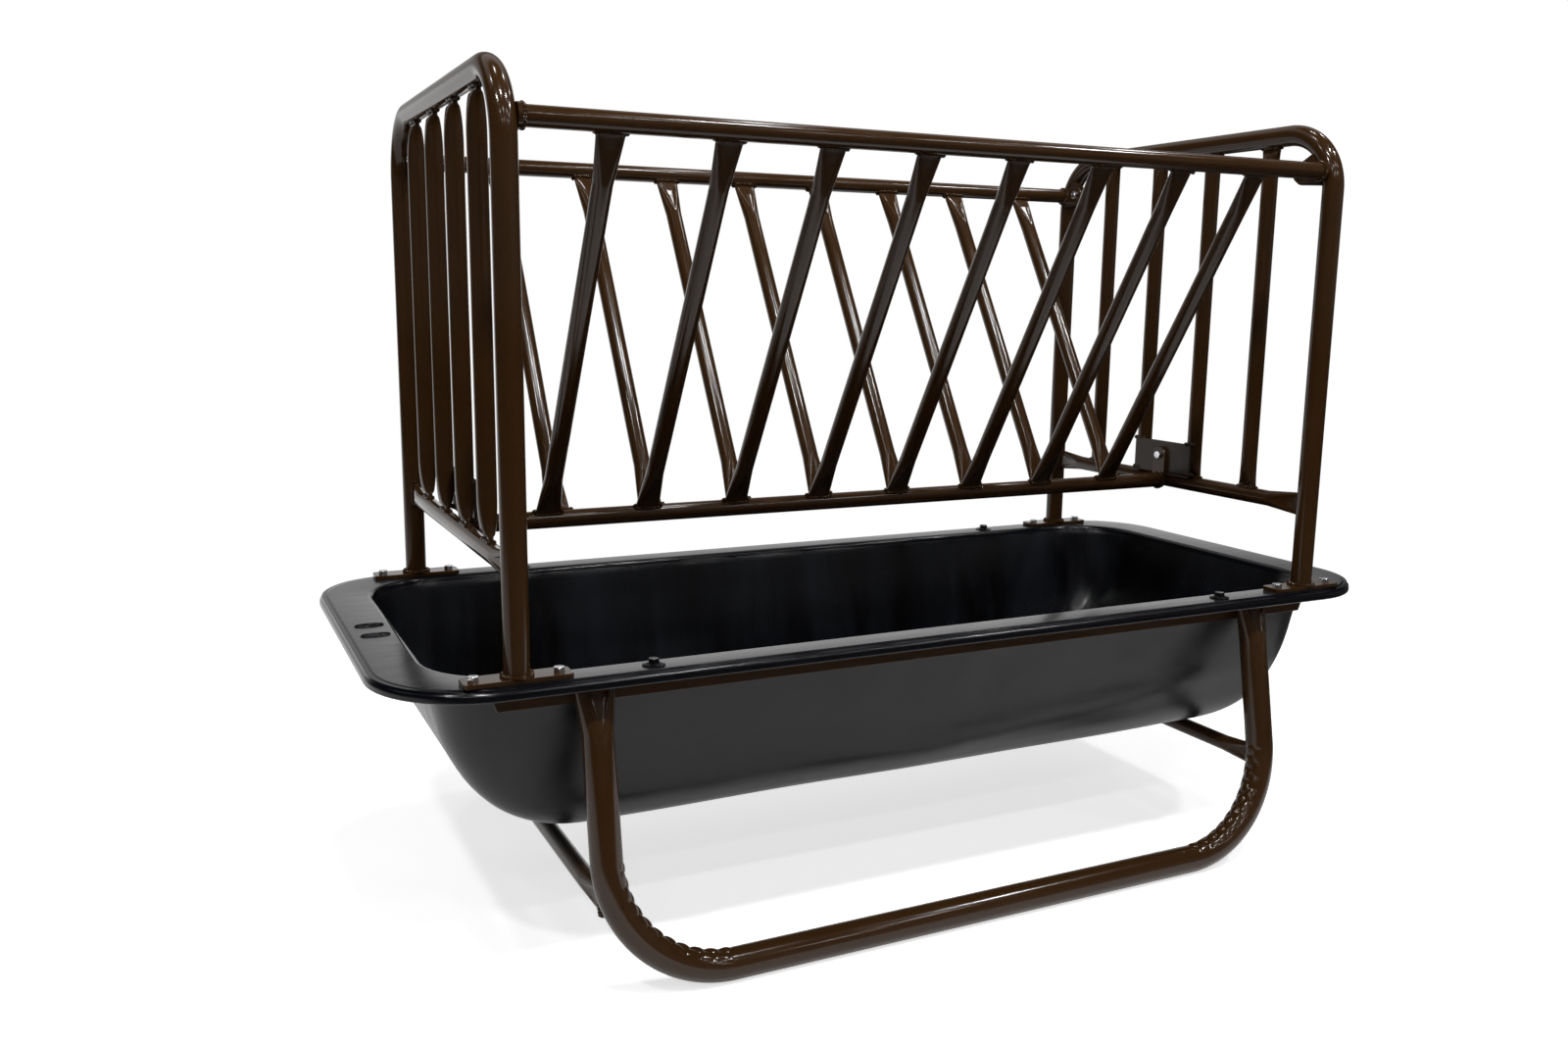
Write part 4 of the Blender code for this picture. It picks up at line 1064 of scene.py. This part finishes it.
SHEET_WHITE = 0.86
SHEET_GLOW = 0.45
SHADOW_LIFT = 0.23
ROOM_GREY = 0.10
SHEET_FRONT = -0.95
SHEET_LEFT = -2.6
SHEET_RIGHT = 1.05
SHEET_FADE = 0.25
SHEET_SPREAD = 0.5
BACKDROP_START = (1.3, 3.2)


def soft_step(tree, value, edge, low=0.0, high=1.0):
    """Smooth change from low to high while the value goes from the start of an edge to its end."""
    return change(tree, value, *edge, low, high, "SMOOTHSTEP")


sheet_bm = bmesh.new()
bmesh.ops.create_grid(sheet_bm, x_segments=1, y_segments=1, size=40.0)
sheet_mesh = bpy.data.meshes.new("floor_sheet")
sheet_bm.to_mesh(sheet_mesh)
sheet_bm.free()
sheet = bpy.data.objects.new("floor_sheet", sheet_mesh)
bpy.context.scene.collection.objects.link(sheet)

sheet_material, tree, shader, place = start_material("pale_sheet")
ray = add_node(tree, "ShaderNodeLightPath").outputs
by_camera = ray["Is Camera Ray"]
reflected = combine(tree, "MAXIMUM", ray["Is Glossy Ray"], ray["Is Transmission Ray"])
seen = combine(tree, "MAXIMUM", by_camera, reflected)
spot = add_node(tree, "ShaderNodeSeparateXYZ", {"Vector": place}).outputs
behind_object = combine(tree, "MAXIMUM", spot["Y"], 0.0)
from_left = combine(tree, "ADD", spot["X"], times(tree, behind_object, SHEET_SPREAD))
at_left = soft_step(tree, from_left, (SHEET_LEFT - 4 * SHEET_FADE, SHEET_LEFT))
at_right = soft_step(tree, spot["X"], (SHEET_RIGHT + SHEET_FADE, SHEET_RIGHT))
at_front = soft_step(tree, spot["Y"], (SHEET_FRONT - SHEET_FADE, SHEET_FRONT))
on_sheet = times(tree, at_front, times(tree, at_left, at_right))
white = combine(tree, "MAXIMUM", on_sheet, by_camera)
glow = times(tree, times(tree, white, seen), SHEET_GLOW)
glow = combine(tree, "ADD", glow, times(tree, by_camera, SHADOW_LIFT))
distance = add_node(tree, "ShaderNodeVectorMath", {0: place}, operation="LENGTH").outputs["Value"]
bright = times(tree, soft_step(tree, distance, BACKDROP_START), white)
emission = add_node(tree, "ShaderNodeEmission", {"Color": (1, 1, 1, 1), "Strength": 1.0})
feed(tree, shader, {"Base Color": change(tree, white, 0.0, 1.0, ROOM_GREY, SHEET_WHITE), "Roughness": 0.9,
                    "Specular IOR Level": 0.0, "Emission Color": (1, 1, 1, 1), "Emission Strength": glow})
blend = add_node(tree, "ShaderNodeMixShader", {0: bright, 1: shader.outputs["BSDF"], 2: emission.outputs[0]})
feed(tree, tree.nodes["Material Output"], {"Surface": blend.outputs[0]})
sheet_mesh.materials.append(sheet_material)

# The room's light by direction. An edge is where one part of the room gives way to the next, as a
# start and an end: of the direction's height, its depth or its share along the way to a light.
BACKDROP_WAY = (sin(radians(8)), cos(radians(8)), 0.0)
BACKDROP_EDGE = (0.66, 0.84)
BACKDROP_LIGHT = 1.0
BACKDROP_DUSK = 0.42
WINDOW_WAY = (sin(radians(26)), cos(radians(26)), 0.0)
WINDOW_EDGE = (0.89, 0.95)
WINDOW_LIGHT = 0.58
WALL_FOOT = (0.06, 0.22)
WALL_TOP = (0.30, 0.55)
CEILING_LIGHT = 0.25
THINGS_SIZE = (3.2, 3.2, 0.7)
THINGS_EDGE = (0.42, 0.62)
THINGS_LIGHT = 0.16
FRONT_EDGE = (0.0, -0.3)
SKYLIGHT_FOOT = (0.56, 0.66)
SKYLIGHT_TOP = (0.90, 0.80)
SKYLIGHT_FRONT = (0.05, 0.25)
SKYLIGHT = 0.6

world = bpy.data.worlds.new("studio")
bpy.context.scene.world = world
world.use_nodes = True
tree = world.node_tree
by_camera = add_node(tree, "ShaderNodeLightPath").outputs["Is Camera Ray"]
way = add_node(tree, "ShaderNodeTexCoord").outputs["Generated"]
split = add_node(tree, "ShaderNodeSeparateXYZ", {"Vector": way}).outputs
towards_backdrop, towards_window = (
    add_node(tree, "ShaderNodeVectorMath", {0: way, 1: middle}, operation="DOT_PRODUCT").outputs["Value"]
    for middle in (BACKDROP_WAY, WINDOW_WAY))
backdrop = times(tree, soft_step(tree, split["Z"], WALL_FOOT, 1.0, BACKDROP_DUSK),
                 soft_step(tree, towards_backdrop, BACKDROP_EDGE, ROOM_GREY, BACKDROP_LIGHT))
window = times(tree, soft_step(tree, split["Z"], WALL_FOOT),
               soft_step(tree, towards_window, WINDOW_EDGE, 0.0, WINDOW_LIGHT))
stretched = add_node(tree, "ShaderNodeMapping", {"Vector": way, "Scale": THINGS_SIZE}).outputs["Vector"]
things = times(tree, soft_step(tree, split["Y"], FRONT_EDGE),
               soft_step(tree, cloud(tree, stretched, 1.0, 2.0), THINGS_EDGE, 0.0, THINGS_LIGHT))
skylight = times(tree, soft_step(tree, split["Z"], SKYLIGHT_FOOT, 0.0, SKYLIGHT),
                 times(tree, soft_step(tree, split["Z"], SKYLIGHT_TOP),
                       soft_step(tree, split["Y"], SKYLIGHT_FRONT)))
walls = combine(tree, "ADD", combine(tree, "ADD", backdrop, window), things)
room = times(tree, walls, soft_step(tree, split["Z"], WALL_TOP, 1.0, CEILING_LIGHT))
room = combine(tree, "ADD", room, skylight)
strength = combine(tree, "MAXIMUM", room, by_camera)
feed(tree, tree.nodes["Background"], {"Color": (1, 1, 1, 1), "Strength": strength})

# Each row of lamps has its distance along Y and the power of one lamp
LAMP_HEIGHT = 3.3
LAMP_SIZE = (0.30, 0.10)
LAMP_COLUMNS = (-2.2, -0.75, 0.70, 2.15)
LAMP_ROWS = ((-4.4, 4.5), (-2.9, 6.0), (-1.4, 26.0), (0.1, 7.0))
LAMP_AIM = Vector((0, 0, 0.6))
number = 0
for lamp_y, power in LAMP_ROWS:
    for lamp_x in LAMP_COLUMNS:
        number += 1
        lamp_data = bpy.data.lights.new(f"lamp_{number}", "AREA")
        lamp_data.shape = "RECTANGLE"
        lamp_data.size, lamp_data.size_y = LAMP_SIZE
        lamp_data.energy = power
        lamp = bpy.data.objects.new(f"lamp_{number}", lamp_data)
        lamp.location = (lamp_x, lamp_y, LAMP_HEIGHT)
        lamp.rotation_euler = (LAMP_AIM - Vector(lamp.location)).to_track_quat("-Z", "Y").to_euler()
        bpy.context.scene.collection.objects.link(lamp)

FOCAL_PIXELS = 1332.65
FRAME_PIXELS = 1600
CAMERA_PLACE = (-1.0119, -1.8104, 0.8710)
CAMERA_TURN = -0.45255
CAMERA_DIP = 0.174175
CAMERA_ROLL = 0.01186
camera_data = bpy.data.cameras.new("camera")
camera_data.sensor_width = 36.0
camera_data.lens = 36.0 * FOCAL_PIXELS / FRAME_PIXELS
camera = bpy.data.objects.new("camera", camera_data)
camera.matrix_world = (Matrix.Translation(CAMERA_PLACE) @ Matrix.Rotation(CAMERA_TURN, 4, "Z")
                       @ Matrix.Rotation(0.5 * pi - CAMERA_DIP, 4, "X")
                       @ Matrix.Rotation(CAMERA_ROLL, 4, "Z"))
bpy.context.scene.collection.objects.link(camera)
bpy.context.scene.camera = camera
bpy.context.scene.view_settings.view_transform = "Standard"
